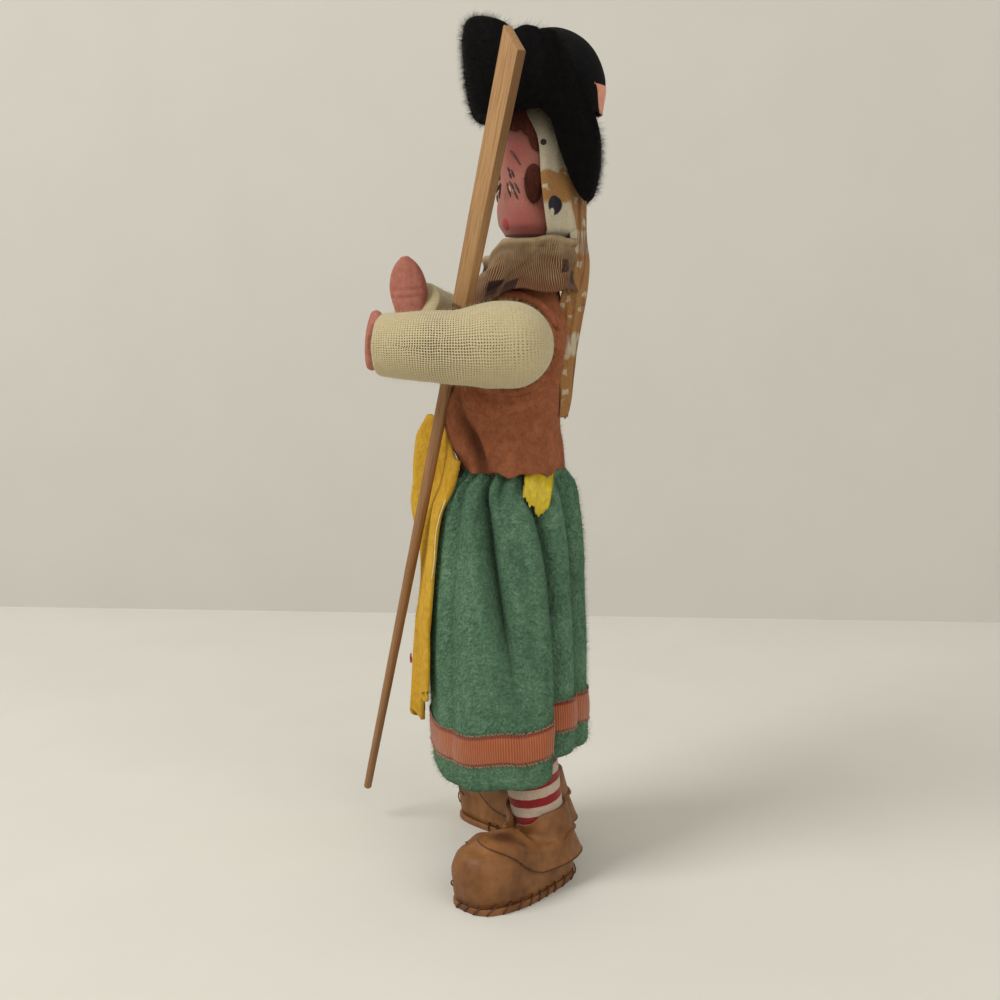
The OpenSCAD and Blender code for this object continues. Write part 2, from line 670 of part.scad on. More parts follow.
module along_oar() translate(oar_loop_place) rotate([0, oar_lean_left, 0]) rotate([-oar_lean_back, 0, 0])
    rotate([0, 0, oar_twist]) children();

// The loop is stitched to the sleeve by a short thread that runs outwards and down
loop_stitch_share = 0.4;
module oar_loop() color("saddlebrown") at_axis() {
    along_oar() rotate_extrude() translate([loop_ring_radius, 0]) circle(d = loop_thread, $fn = 16);
    to_arm = arm_place(left_arm, loop_stitch_share) - oar_loop_place;
    way = unit(to_arm);
    translate(oar_loop_place + way * loop_ring_radius)
        rotate([0, acos(way[2]), atan2(way[1], way[0])])
            cylinder(d = loop_thread, $fn = 16,
                h = norm(to_arm) - loop_ring_radius - arm_radius(loop_stitch_share) + sleeve_thickness / 2);
}

module blade_slice(width, at, tall)
    translate([-blade_thickness / 2, -width / 2, at]) cube([blade_thickness, width, tall]);

module oar() color("burlywood") at_axis() along_oar() translate([0, 0, -oar_below_loop]) {
    cylinder(r1 = shaft_tip_radius, r2 = shaft_radius, h = blade_start);
    hull() {
        blade_slice(blade_neck_width, blade_start, 0.1);
        blade_slice(blade_width, blade_start + blade_length - 4, 0.1);
        translate([0, -0.8, 0]) blade_slice(blade_width - 1.6, blade_start + blade_length - 0.1, 0.1);
    }
}

// Legs and shoes, drawn for the left side and mirrored for the right

ankle_z = shoe_height + sole_thickness - 1.4;
ankle_x = hip_x + 3;
ankle_y = 6.6;
function leg_middle(z) = let (t = (hip_height - z) / (hip_height - ankle_z))
    [hip_x + (ankle_x - hip_x) * t, hip_y + (ankle_y - hip_y) * t, z];
function leg_radius(z, offset) = offset + lookup(z, [[ankle_z, leg_ankle_radius],
    [ankle_z + 12, leg_calf_radius - 0.4], [ankle_z + 22, leg_calf_radius]]);
function leg_ring(z, offset) =
    [for (a = angles(14)) leg_middle(z) + leg_radius(z, offset) * [cos(a), sin(a), 0]];
function hip_ball_ring(b) = [for (a = angles(14))
    leg_middle(hip_height) + leg_calf_radius * [cos(a) * cos(b), sin(a) * cos(b), sin(b)]];
leg_heights = [ankle_z, ankle_z + 6, ankle_z + 12, ankle_z + 22, hip_height - 14, hip_height];
stocking_top_z = hip_height - 10;
leg_wire_top_z = hip_height - 3;
leg_wire_bottom_z = sole_thickness + 5;

module leg_wire_rod() {
    top = leg_middle(leg_wire_top_z);
    line = leg_middle(leg_wire_bottom_z) - top;
    translate(top) rotate([0, acos(line[2] / norm(line)), atan2(line[1], line[0])])
        cylinder(r = wire_radius, h = norm(line));
}

module leg_stuffing() color("wheat") difference() {
    stuffed(concat(
        [for (z = leg_heights) leg_ring(z, 0)],
        [for (b = [25, 48, 70]) hip_ball_ring(b)]));
    cross_wire(hip_y, hip_height, hip_wire_reach + 1, wire_radius + wire_clearance);
    leg_wire_rod();
}

stocking_heights = [ankle_z + 0.2, ankle_z + 6, ankle_z + 12, ankle_z + 22, stocking_top_z];
module stocking() color("indianred") cloth(
    [for (z = stocking_heights) leg_ring(z, layer_gap + stocking_thickness)],
    [for (z = stocking_heights) leg_ring(z, layer_gap)],
    true);

// The shoe in its own axes: the toe points along +X from the heel, and the origin is the sole's middle.
// The upper is a low dome on the sole's outline
function sole_reach(a, offset) =
    let (half = sole_length / 2 + offset, side = (sole_width / 2 + offset) * (1 + 0.1 * cos(a)))
        pow(pow(abs(cos(a)) / half, 2.5) + pow(abs(sin(a)) / side, 2.5), -1 / 2.5);
function upper_point(a, b, offset) =
    let (r = sole_reach(a, offset - quarter_out) * pow(cos(b), 0.75),
        high = (shoe_height + offset) * (0.82 - 0.18 * cos(a)))
        [r * cos(a), r * sin(a), sole_thickness + high * pow(sin(b), 0.9)];
shoe_middle = [19.2, 2.6, 0];

shoe_turn = toe_out - 90;

module shoe_place() translate(shoe_middle) rotate([0, 0, shoe_turn]) children();

module sole() color("sienna") shoe_place() linear_extrude(sole_thickness)
    polygon([for (a = angles(48)) sole_reach(a, 0) * [cos(a), sin(a)]]);

// The stuffed foot fills the shoe up to the ankle and stands on the sole
module foot_pad() color("wheat") difference() {
    shoe_place() intersection() {
        stuffed([for (b = [0, 15, 30, 46, 64, 80]) [for (a = angles(20)) upper_point(a, b, -layer_gap)]]);
        translate([-sole_length, -sole_width, sole_thickness])
            cube([2 * sole_length, 2 * sole_width, ankle_z - sole_thickness]);
    }
    leg_wire_rod();
}

// The vamp covers the toe up to the instep and runs back low along the sides to the heel
vamp_angles = steps(-168, 168, 24);
function vamp_rise(a) = lookup(abs(a), [[0, 54], [70, 50], [104, 34], [168, 24]]);
function vamp_rows(offset) = [for (share = steps(0, 1, 4))
    [for (a = vamp_angles) upper_point(a, share * vamp_rise(a), offset)]];

module shoe_vamp() color("peru") difference() {
    shoe_place() cloth(vamp_rows(vamp_out), vamp_rows(vamp_in), false);
    leg_clearance();
}

// The quarter laps over the vamp from a seam that dips along the sides.
// It rises as a collar, highest at the heel
quarter_angles = steps(68, 292, 16);
function from_shoe(p) = shoe_middle
    + [cos(shoe_turn) * p[0] - sin(shoe_turn) * p[1], sin(shoe_turn) * p[0] + cos(shoe_turn) * p[1], p[2]];
function collar_point(a, share, offset) =
    let (z = ankle_z + 1 + share * collar_height * (0.65 - 0.35 * cos(a)), way = a + shoe_turn)
        leg_middle(z) + leg_radius(z, offset) * [cos(way), sin(way), 0];
function quarter_seam(a) = lookup(abs(180 - a), [[0, 16], [70, 15], [112, 38]]);
function quarter_rows(dome_offset, leg_offset) = concat(
    [for (rise = [0, 12])
        [for (a = quarter_angles) from_shoe(upper_point(a, quarter_seam(a) + rise, dome_offset))]],
    [for (share = [0, 0.5, 1]) [for (a = quarter_angles) collar_point(a, share, leg_offset)]]);

module shoe_quarter() color("sandybrown")
    cloth(quarter_rows(quarter_out, collar_out), quarter_rows(quarter_in, collar_in), false);

// Room for the leg and its stocking in the shoe
module leg_clearance()
    stuffed([for (z = [ankle_z - 0.4, ankle_z + 6, ankle_z + 12])
        leg_ring(z, stocking_thickness + 3 * layer_gap)]);

// Whip stitches stand round the toe, a little above the floor
stitch_radius = 0.35;
stitch_spread = 64;
stitch_base_z = 0.5;
stitch_angles = steps(-stitch_spread, stitch_spread, stitch_count - 1);
module shoe_stitching() color("saddlebrown") shoe_place() for (a = stitch_angles) {
    r = sole_reach(a, 0) + stitch_radius + 2 * layer_gap;
    translate([r * cos(a), r * sin(a), stitch_base_z])
        cylinder(r = stitch_radius, h = sole_thickness + 1, $fn = 16);
}

module on_side(side) at_axis() mirror_for(side) children();

module left_leg_stuffing() on_side(1) leg_stuffing();
module left_leg_wire() color("silver") on_side(1) leg_wire_rod();
module left_stocking() on_side(1) stocking();
module left_foot_pad() on_side(1) foot_pad();
module left_sole() on_side(1) sole();
module left_shoe_vamp() on_side(1) shoe_vamp();
module left_shoe_quarter() on_side(1) shoe_quarter();
module left_shoe_stitching() on_side(1) shoe_stitching();
module right_leg_stuffing() on_side(-1) leg_stuffing();
module right_leg_wire() color("silver") on_side(-1) leg_wire_rod();
module right_stocking() on_side(-1) stocking();
module right_foot_pad() on_side(-1) foot_pad();
module right_sole() on_side(-1) sole();
module right_shoe_vamp() on_side(-1) shoe_vamp();
module right_shoe_quarter() on_side(-1) shoe_quarter();
module right_shoe_stitching() on_side(-1) shoe_stitching();

torso_stuffing();
spine_wire();
shoulder_wire();
hip_wire();
vest();
neckerchief();
scarf_tail();
skirt();
skirt_ribbon();
apron();
apron_dot();
ribbon_end();
head_stuffing();
face();
hair();
headscarf();
hat_crown();
hat_band();
hat_brim();
left_arm_stuffing();
left_arm_wire();
left_sleeve();
left_hand();
oar_loop();
oar();
right_arm_stuffing();
right_arm_wire();
right_sleeve();
right_hand();
left_leg_stuffing();
left_leg_wire();
left_stocking();
left_foot_pad();
left_sole();
left_shoe_vamp();
left_shoe_quarter();
left_shoe_stitching();
right_leg_stuffing();
right_leg_wire();
right_stocking();
right_foot_pad();
right_sole();
right_shoe_vamp();
right_shoe_quarter();
right_shoe_stitching();
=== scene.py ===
import math
import random

import bmesh
import bpy
from mathutils import Matrix, Vector, noise


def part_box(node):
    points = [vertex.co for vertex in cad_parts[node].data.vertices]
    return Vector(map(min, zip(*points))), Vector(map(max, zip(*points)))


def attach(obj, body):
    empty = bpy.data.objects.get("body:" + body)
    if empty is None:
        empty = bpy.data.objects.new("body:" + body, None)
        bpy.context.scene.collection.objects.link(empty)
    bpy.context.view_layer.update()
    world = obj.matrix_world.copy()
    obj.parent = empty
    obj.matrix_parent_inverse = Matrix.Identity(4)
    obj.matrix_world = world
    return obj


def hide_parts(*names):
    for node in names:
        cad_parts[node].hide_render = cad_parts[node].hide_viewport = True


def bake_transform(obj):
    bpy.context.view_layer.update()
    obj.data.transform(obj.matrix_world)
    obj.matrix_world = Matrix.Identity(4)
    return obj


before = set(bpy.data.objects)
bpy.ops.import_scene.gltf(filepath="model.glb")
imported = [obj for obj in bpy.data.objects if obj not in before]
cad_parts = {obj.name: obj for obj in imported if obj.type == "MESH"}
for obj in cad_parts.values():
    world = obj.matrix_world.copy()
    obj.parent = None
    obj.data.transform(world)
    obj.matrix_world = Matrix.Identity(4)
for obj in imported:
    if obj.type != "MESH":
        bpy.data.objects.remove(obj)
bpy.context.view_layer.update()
random.seed(11)

# the doll's own axes: millimetres, facing -Y, left side +X, spine wire at y = 4
spineLow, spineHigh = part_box("spine_wire")
axisY = (spineLow.y + spineHigh.y) / 2 - 0.004


def spot(x, y, z):
    return Vector((x * 0.001, y * 0.001 + axisY, z * 0.001))


def middleOf(node):
    low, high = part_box(node)
    middle = (low + high) / 2
    return Vector((middle.x, middle.y - axisY, middle.z)) * 1000


shoulder = Vector((24.9, middleOf("shoulder_wire").y, middleOf("shoulder_wire").z))
hipZ = middleOf("hip_wire").z
shoulderZ = shoulder.z
waistZ = shoulderZ - 31
neckTopZ = shoulderZ + 24.8
headMiddle = middleOf("head_stuffing")


def cosd(angle):
    return math.cos(math.radians(angle))


def sind(angle):
    return math.sin(math.radians(angle))


def clamp(value, low=0.0, high=1.0):
    return max(low, min(high, value))


def ease(value, low, high):
    t = clamp((value - low) / (high - low))
    return t * t * (3 - 2 * t)


def hill(value, middle, width):
    return math.exp(-((value - middle) / width) ** 2)


def turned(angle):  # the same angle between -180 and 180
    return (angle + 180) % 360 - 180


def hillRound(angle, middle, width):  # a hill at one place round a piece
    return hill(turned(angle - middle), 0, width)


def between(low, high, share):
    return low + (high - low) * share


def roundOff(share):  # from 0 to 1 along a quarter of a circle
    return math.sin(math.pi / 2 * clamp(share))


def rowAt(table, z):  # smooth values between the rows of a table that starts with its heights
    if z <= table[0][0]:
        return table[0][1:]
    if z >= table[-1][0]:
        return table[-1][1:]
    i = max(k for k in range(len(table) - 1) if table[k][0] <= z)
    low, high = table[i], table[i + 1]
    before, after = table[max(i - 1, 0)], table[min(i + 2, len(table) - 1)]
    span = high[0] - low[0]
    t = (z - low[0]) / span
    values = []
    for k in range(1, len(low)):
        slopeLow = (high[k] - before[k]) / (high[0] - before[0]) * span
        slopeHigh = (after[k] - low[k]) / (after[0] - low[0]) * span
        values.append((2 * t ** 3 - 3 * t ** 2 + 1) * low[k] + (t ** 3 - 2 * t ** 2 + t) * slopeLow
                      + (3 * t ** 2 - 2 * t ** 3) * high[k] + (t ** 3 - t ** 2) * slopeHigh)
    return values


def valueAt(table, z):
    return rowAt(table, z)[0]


def curveAt(points, place):  # a place on a smooth curve, counted in points
    return rowAt([(i, *point) for i, point in enumerate(points)], place)


def ringPoint(table, angle, z, offset=0.0, square=2.0):  # a point round a body profile
    halfWidth, front, back = rowAt(table, z)
    c, s = cosd(angle), sind(angle)
    x = math.copysign(abs(c) ** (2 / square), c)
    y = math.copysign(abs(s) ** (2 / square), s)
    return Vector(((halfWidth + offset) * x, (front + back) / 2 + ((back - front) / 2 + offset) * y, z))


def roundNoise(angle, z, coarse, seed):  # an unevenness that closes on itself round a piece
    return noise.noise(Vector((coarse * cosd(angle) + seed, coarse * sind(angle), z)))


# mesh helpers


def clothGrid(columns, rows, shape, closed=False, hollow=None):
    bm = bmesh.new()
    bm.loops.layers.uv.new("UVMap")
    depth = bm.verts.layers.float.new("hollow") if hollow else None
    bmesh.ops.create_grid(bm, x_segments=columns, y_segments=rows, size=0.5, calc_uvs=True)
    for vert in bm.verts:
        if hollow:
            vert[depth] = hollow(vert.co.x + 0.5, vert.co.y + 0.5)
        vert.co = spot(*shape(vert.co.x + 0.5, vert.co.y + 0.5))
    if closed:
        bmesh.ops.remove_doubles(bm, verts=bm.verts, dist=1e-6)
    return bm


def addInto(bm, other):
    mesh = bpy.data.meshes.new("part")
    other.to_mesh(mesh)
    other.free()
    bm.from_mesh(mesh)
    bpy.data.meshes.remove(mesh)


def makePiece(name, bm, material, body, nodes=()):
    for face in bm.faces:
        face.smooth = True
    mesh = bpy.data.meshes.new(name)
    bm.to_mesh(mesh)
    bm.free()
    mesh.materials.append(material)
    piece = bpy.data.objects.new(name, mesh)
    bpy.context.collection.objects.link(piece)
    if body:
        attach(piece, body)
    if nodes:
        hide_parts(*nodes)
    return piece


def thicken(piece, thickness):
    wall = piece.modifiers.new("wall", "SOLIDIFY")
    wall.thickness = thickness * 0.001
    wall.offset = -1
    wall.use_even_offset = False


def clothPiece(name, cut, shape, material, body, nodes=(), closed=True, hollow=None):
    bm = clothGrid(cut["columns"], cut["rows"], shape, closed, hollow)
    piece = makePiece(name, bm, material, body, nodes)
    if "thickness" in cut:
        thicken(piece, cut["thickness"])
    return piece


def tube(path, radius, sides=8, closed=False, taper=None):
    count = len(path)
    steps = count if closed else count + 1

    def shape(u, v):
        k = round(v * steps)
        i = k % count if closed else round(clamp(k - 1, 0, count - 1))
        point = path[i]
        before = path[(i - 1) % count] if closed or i > 0 else path[0]
        after = path[(i + 1) % count] if closed or i < count - 1 else path[-1]
        way = (after - before).normalized()
        across = way.orthogonal() if abs(way.z) > 0.95 else way.cross(Vector((0, 0, 1)))
        across.normalize()
        up = across.cross(way)
        r = radius * (taper(i / (count - 1)) if taper else 1)
        if not closed and k in (0, steps):
            r = 0  # closes the ends
        return point + r * (cosd(360 * u) * across - sind(360 * u) * up)

    return clothGrid(sides, steps, shape, closed=True)


# material helpers


def paint(red, green, blue):  # a colour as a picture editor gives it
    def linear(part):
        part /= 255
        return part / 12.92 if part <= 0.04045 else ((part + 0.055) / 1.055) ** 2.4
    return (linear(red), linear(green), linear(blue), 1)


def addNode(tree, kind, values=None, **settings):  # outputs are linked, plain values are set
    node = tree.nodes.new(kind)
    for key, value in settings.items():
        setattr(node, key, value)
    for socket, value in (values or {}).items():
        if isinstance(value, bpy.types.NodeSocket):
            tree.links.new(value, node.inputs[socket])
        else:
            node.inputs[socket].default_value = value
    return node


def addAfter(kind, values, **settings):  # a node in the tree of the outputs that it reads
    tree = next(value.id_data for value in values.values() if isinstance(value, bpy.types.NodeSocket))
    return addNode(tree, kind, values, **settings)


def newMaterial(name, shaderValues):
    material = bpy.data.materials.new(name)
    material.use_nodes = True
    shader = material.node_tree.nodes["Principled BSDF"]
    for socket, value in shaderValues.items():
        shader.inputs[socket].default_value = value
    return material


def plug(material, socket, output):
    shader = material.node_tree.nodes["Principled BSDF"]
    material.node_tree.links.new(output, shader.inputs[socket])


def stretched(where, scale):
    return addAfter("ShaderNodeMapping", {"Vector": where, "Scale": scale}).outputs["Vector"]


def inMillimetres(material, stretch=(1, 1, 1)):
    where = addNode(material.node_tree, "ShaderNodeTexCoord").outputs["Object"]
    return stretched(where, [1000 * part for part in stretch])


def onCloth(material, across, along):  # the piece's own map, in threads
    where = addNode(material.node_tree, "ShaderNodeTexCoord").outputs["UV"]
    return stretched(where, (across, along, 1))


def speckle(where, scale, detail=3.0, roughness=0.6, distortion=0.0):
    values = {"Vector": where, "Scale": scale, "Detail": detail, "Roughness": roughness,
              "Distortion": distortion}
    return addAfter("ShaderNodeTexNoise", values).outputs["Fac"]


def ramp(amount, stops):  # each stop has a place and a colour or a grey
    node = addAfter("ShaderNodeValToRGB", {"Fac": amount})
    band = node.color_ramp
    while len(band.elements) < len(stops):
        band.elements.new(0.5)
    for element, (place, colour) in zip(band.elements, stops):
        element.position = place
        element.color = colour if isinstance(colour, tuple) else (colour, colour, colour, 1)
    return node.outputs["Color"]


def calc(operation, a, b=0.0, c=0.0):
    return addAfter("ShaderNodeMath", {0: a, 1: b, 2: c}, operation=operation).outputs[0]


def blendColour(amount, a, b):
    return addAfter("ShaderNodeMixRGB", {"Fac": amount, "Color1": a, "Color2": b}).outputs["Color"]


def bumpFrom(material, height, strength, distance):
    values = {"Height": height, "Strength": strength, "Distance": distance * 0.001}
    plug(material, "Normal", addAfter("ShaderNodeBump", values).outputs["Normal"])


def parts(vector):
    return addAfter("ShaderNodeSeparateXYZ", {"Vector": vector}).outputs


def wave(place):  # one wave for each whole number
    return calc("SINE", calc("MULTIPLY", place, 2 * math.pi))


def farFrom(where, point):  # millimetres from one point of the doll
    values = {0: where, 1: spot(*point) * 1000}
    return addAfter("ShaderNodeVectorMath", values, operation="DISTANCE").outputs["Value"]


# thread or paint in two shades
def tonedMaterial(name, shaderValues, scale, dark, light):
    material = newMaterial(name, shaderValues)
    tone = speckle(inMillimetres(material), scale)
    plug(material, "Base Color", ramp(tone, [(0.3, dark), (0.7, light)]))
    return material


# wool felt: matted fibres in three shades, with a brushed direction and, for knobbly wool, pebbles
def feltMaterial(name, dark, middle, light, stretch=(1, 1, 1), sheen=0.35, relief=0.5, pebble=0.0,
                 shade=0.0):
    material = newMaterial(name, {"Roughness": 0.95, "Sheen Weight": sheen, "Sheen Roughness": 0.6,
                                  "Sheen Tint": light, "Specular IOR Level": 0.15})
    where = inMillimetres(material, stretch)
    fibres = speckle(where, 2.4, detail=6, roughness=0.75, distortion=1.5)
    clumps = speckle(where, 0.55, detail=3, roughness=0.6, distortion=0.6)
    broad = speckle(inMillimetres(material), 0.07, detail=2)
    mixed = calc("MULTIPLY_ADD", clumps, 0.35, calc("MULTIPLY", fibres, 0.5))
    mixed = calc("MULTIPLY_ADD", broad, 0.25, mixed)
    height = calc("ADD", fibres, clumps)
    if pebble:
        cells = addAfter("ShaderNodeTexVoronoi", {"Vector": where, "Scale": 1.5}, feature="SMOOTH_F1")
        knob = calc("SUBTRACT", 0.45, cells.outputs["Distance"])
        mixed = calc("MULTIPLY_ADD", knob, 0.2 * pebble, mixed)
        height = calc("MULTIPLY_ADD", knob, 2.5 * pebble, height)
    colour = ramp(mixed, [(0.36, dark), (0.54, middle), (0.72, light)])
    if shade:  # painted shade in the depth of the folds
        hollow = addNode(material.node_tree, "ShaderNodeAttribute", attribute_name="hollow")
        foldShadeColour = tuple(part * 0.3 for part in dark[:3]) + (1,)
        colour = blendColour(calc("MULTIPLY", hollow.outputs["Fac"], shade), colour, foldShadeColour)
    plug(material, "Base Color", colour)
    bumpFrom(material, height, relief, 0.5)
    return material


# short stiff fibres standing on a surface, as one mesh
def napOn(name, source, nap, material, body):
    tree = bpy.data.node_groups.new(name, "GeometryNodeTree")
    for direction in ("INPUT", "OUTPUT"):
        tree.interface.new_socket("Geometry", in_out=direction, socket_type="NodeSocketGeometry")
    ground = addNode(tree, "NodeGroupInput").outputs["Geometry"]
    scatter = addAfter("GeometryNodeDistributePointsOnFaces",
                       {"Mesh": ground, "Density": nap["perMm"] * 1e6, "Seed": nap["seed"]}).outputs
    cone = {"Vertices": 3, "Side Segments": nap["joints"], "Radius Top": 0.0,
            "Radius Bottom": nap["radius"] * 0.001, "Depth": nap["length"] * 0.001}
    hair = addNode(tree, "GeometryNodeMeshCone", cone, fill_type="NONE").outputs["Mesh"]
    height = parts(addNode(tree, "GeometryNodeInputPosition").outputs["Position"])["Z"]
    sway = calc("MULTIPLY", calc("POWER", height, 2.0), nap["bend"] * 1000 / nap["length"])
    offset = addAfter("ShaderNodeCombineXYZ", {"X": sway}).outputs["Vector"]
    bent = addAfter("GeometryNodeSetPosition", {"Geometry": hair, "Offset": offset}).outputs["Geometry"]
    span = {"Min": (-nap["spread"],) * 3, "Max": (nap["spread"],) * 3, "Seed": nap["seed"] + 1}
    spread = addNode(tree, "FunctionNodeRandomValue", span, data_type="FLOAT_VECTOR").outputs["Value"]
    brushed = addAfter("ShaderNodeVectorMath", {0: scatter["Normal"], 1: nap["brush"]}, operation="ADD")
    way = addAfter("ShaderNodeVectorMath", {0: brushed.outputs["Vector"], 1: spread}, operation="ADD")
    aligned = addAfter("FunctionNodeAlignRotationToVector", {"Vector": way.outputs["Vector"]}, axis="Z")
    fullTurn = {"Min": (0, 0, 0), "Max": (0, 0, 6.28), "Seed": nap["seed"] + 2}
    twirl = addNode(tree, "FunctionNodeRandomValue", fullTurn, data_type="FLOAT_VECTOR").outputs["Value"]
    spun = addAfter("FunctionNodeRotateRotation",
                    {"Rotation": aligned.outputs["Rotation"], "Rotate By": twirl}, rotation_space="LOCAL")
    lengths = {2: nap["least"], 3: 1.0, "Seed": nap["seed"] + 3}
    sizes = addNode(tree, "FunctionNodeRandomValue", lengths, data_type="FLOAT").outputs[1]
    stand = addAfter("GeometryNodeInstanceOnPoints",
                     {"Points": scatter["Points"], "Instance": bent, "Rotation": spun.outputs["Rotation"],
                      "Scale": sizes})
    solid = addAfter("GeometryNodeRealizeInstances", {"Geometry": stand.outputs["Instances"]})
    addAfter("NodeGroupOutput", {"Geometry": solid.outputs["Geometry"]})

    piece = bpy.data.objects.new(name, source.data.copy())
    bpy.context.collection.objects.link(piece)
    grower = piece.modifiers.new("nap", "NODES")
    grower.node_group = tree
    grown = bpy.data.meshes.new_from_object(piece.evaluated_get(bpy.context.evaluated_depsgraph_get()))
    piece.modifiers.clear()
    piece.data = grown
    piece.data.materials.clear()
    piece.data.materials.append(material)
    bpy.data.node_groups.remove(tree)
    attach(piece, body)
    print(name, "has", len(grown.polygons), "faces")
    return piece


# materials

cottonColours = {"dark": paint(196, 178, 142), "light": paint(222, 208, 176)}
bodyCotton = newMaterial("bodyCotton", {"Roughness": 0.9, "Sheen Weight": 0.2})
cottonSpeck = speckle(inMillimetres(bodyCotton), 3.5, detail=5)
plug(bodyCotton, "Base Color",
     ramp(cottonSpeck, [(0.35, cottonColours["dark"]), (0.65, cottonColours["light"])]))
bumpFrom(bodyCotton, cottonSpeck, 0.4, 0.2)

steelWire = newMaterial("steelWire", {"Metallic": 1.0})
wireWear = speckle(inMillimetres(steelWire, (1, 1, 0.2)), 1.5)
plug(steelWire, "Base Color", ramp(wireWear, [(0.3, paint(120, 118, 112)), (0.7, paint(176, 174, 168))]))
plug(steelWire, "Roughness", ramp(wireWear, [(0.3, 0.28), (0.7, 0.5)]))

vestFelt = feltMaterial("vestFelt", paint(104, 56, 33), paint(138, 80, 51), paint(166, 106, 75),
                        sheen=0.5, shade=0.75)
rimFelt = feltMaterial("rimFelt", paint(104, 56, 34), paint(138, 78, 50), paint(168, 106, 76), sheen=0.4)
skirtFelt = feltMaterial("skirtFelt", paint(54, 84, 62), paint(85, 119, 92), paint(122, 156, 126),
                         sheen=0.45, relief=0.9, pebble=1.0, shade=0.75)
apronFelt = feltMaterial("apronFelt", paint(156, 104, 20), paint(196, 150, 44), paint(218, 180, 72),
                         (1, 1, 0.8))
pinkFelt = feltMaterial("pinkFelt", paint(136, 80, 68), paint(166, 104, 88), paint(186, 126, 108),
                        sheen=0.2, relief=0.2)
# brown, so the armholes show no gap
torsoCotton = feltMaterial("torsoCotton", paint(96, 58, 38), paint(124, 78, 52), paint(150, 100, 72))
hairFelt = feltMaterial("hairFelt", paint(31, 12, 9), paint(66, 30, 20), paint(94, 48, 32),
                        (3, 3, 0.5), 0.2)
hatFelt = feltMaterial("hatFelt", paint(5, 4, 5), paint(10, 9, 10), paint(20, 18, 20), sheen=0.05,
                       relief=0.25)

plushColours = {"root": paint(3, 2, 2), "tip": paint(11, 8, 8)}
hatPlush = newMaterial("hatPlush", {"Roughness": 0.8, "Specular IOR Level": 0.1})
plushTone = speckle(inMillimetres(hatPlush), 0.6, detail=4)
plug(hatPlush, "Base Color", ramp(plushTone, [(0.35, plushColours["root"]), (0.7, plushColours["tip"])]))

print("materials for felt and plush ready")

# torso: stuffed cotton with room for the balls of the limbs

torsoCut = {
    "columns": 72, "rows": 48,
    "rings": [  # height, half width, front, back
        (hipZ + 0.4, 14, -10, 8.5), (hipZ + 9, 15, -11.5, 9.5), (waistZ - 10, 13, -11.6, 9.6),
        (waistZ, 13, -12.3, 9.9), (waistZ + 10.5, 14.1, -15, 9.8), (waistZ + 20, 14.3, -14, 10),
        (shoulderZ, 14.3, -11.3, 10.6), (shoulderZ + 9.6, 12.7, -8.2, 9.8),
        (shoulderZ + 15, 9.9, -4.6, 9.4), (shoulderZ + 17.6, 6.8, -2.8, 10.8), (neckTopZ, 5, -1, 9)],
    "hipBall": 8.0, "shoulderBall": 10.9, "hipX": 10.0, "hipY": -1.0,
}


def torsoPoint(u, v):
    rings = torsoCut["rings"]
    low, high = rings[0][0], rings[-1][0]
    z = between(low, high, clamp((v - 0.06) / 0.88))
    point = ringPoint(rings, 360 * u, z)
    cap = clamp(v / 0.06) * clamp((1 - v) / 0.06)
    middle = Vector((0, (rowAt(rings, z)[1] + rowAt(rings, z)[2]) / 2, z))
    point = middle + (point - middle) * roundOff(cap)
    for side in (-1, 1):
        hip = Vector((side * torsoCut["hipX"], torsoCut["hipY"], hipZ))
        arm = Vector((side * shoulder.x, shoulder.y, shoulderZ))
        for place, ball in ((hip, torsoCut["hipBall"]), (arm, torsoCut["shoulderBall"])):
            away = point - place
            if 0 < away.length < ball:
                point = place + away * (ball / away.length)
    return point


torso = clothPiece("torsoCloth", torsoCut, torsoPoint, torsoCotton, "torso",
                   ["torso_stuffing"])
for wireName in ("spine", "shoulder", "hip", "left_arm", "right_arm", "left_leg", "right_leg"):
    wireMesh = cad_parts[wireName + "_wire"].data
    wireMesh.materials.clear()
    wireMesh.materials.append(steelWire)
print("torso done")

# vest: brushed felt, squarer at the shoulders, with rolled armholes and a flared hem

vestCut = {
    "columns": 168, "rows": 84, "thickness": 1.1, "hem": waistZ - 1.4, "top": shoulderZ + 14,
    "armhole": 11.0, "rim": 1.1, "rimRing": 11.9,
    "flare": [(waistZ - 2, 3.2), (waistZ + 0.6, 2.4), (waistZ + 3.5, 1.4), (waistZ + 8, 0.5),
              (waistZ + 13, 0.0)],
    # place round the body at the hem and at the top, depth, width in degrees, height where it ends
    "folds": [(-27, -89, 3.4, 8, waistZ + 27), (-33, -34, 1.0, 6, waistZ + 16),
              (-12, -16, 0.7, 6, waistZ + 9), (12, 10, 0.5, 7, waistZ + 7),
              (40, 36, 0.5, 8, waistZ + 9), (75, 75, 0.6, 9, waistZ + 10),
              (110, 108, 0.6, 9, waistZ + 12), (150, 150, 0.6, 8, waistZ + 10),
              (190, 190, 0.6, 7, waistZ + 9), (215, 214, 0.7, 7, waistZ + 12),
              (238, 236, 1.3, 9, waistZ + 20), (268, 268, 0.7, 6, waistZ + 16)],
    "nap": {"perMm": 2.4, "length": 1.2, "radius": 0.035, "least": 0.3, "bend": 0.5, "spread": 0.9,
            "brush": (0, 0, -0.3), "joints": 1, "seed": 3},
}


def vestSquare(z):  # squarer round the chest than at the waist and neck
    chest = ease(z, waistZ + 6, shoulderZ - 4)
    return 2 + 1.3 * chest * (1 - 0.7 * ease(z, shoulderZ + 4, shoulderZ + 14))


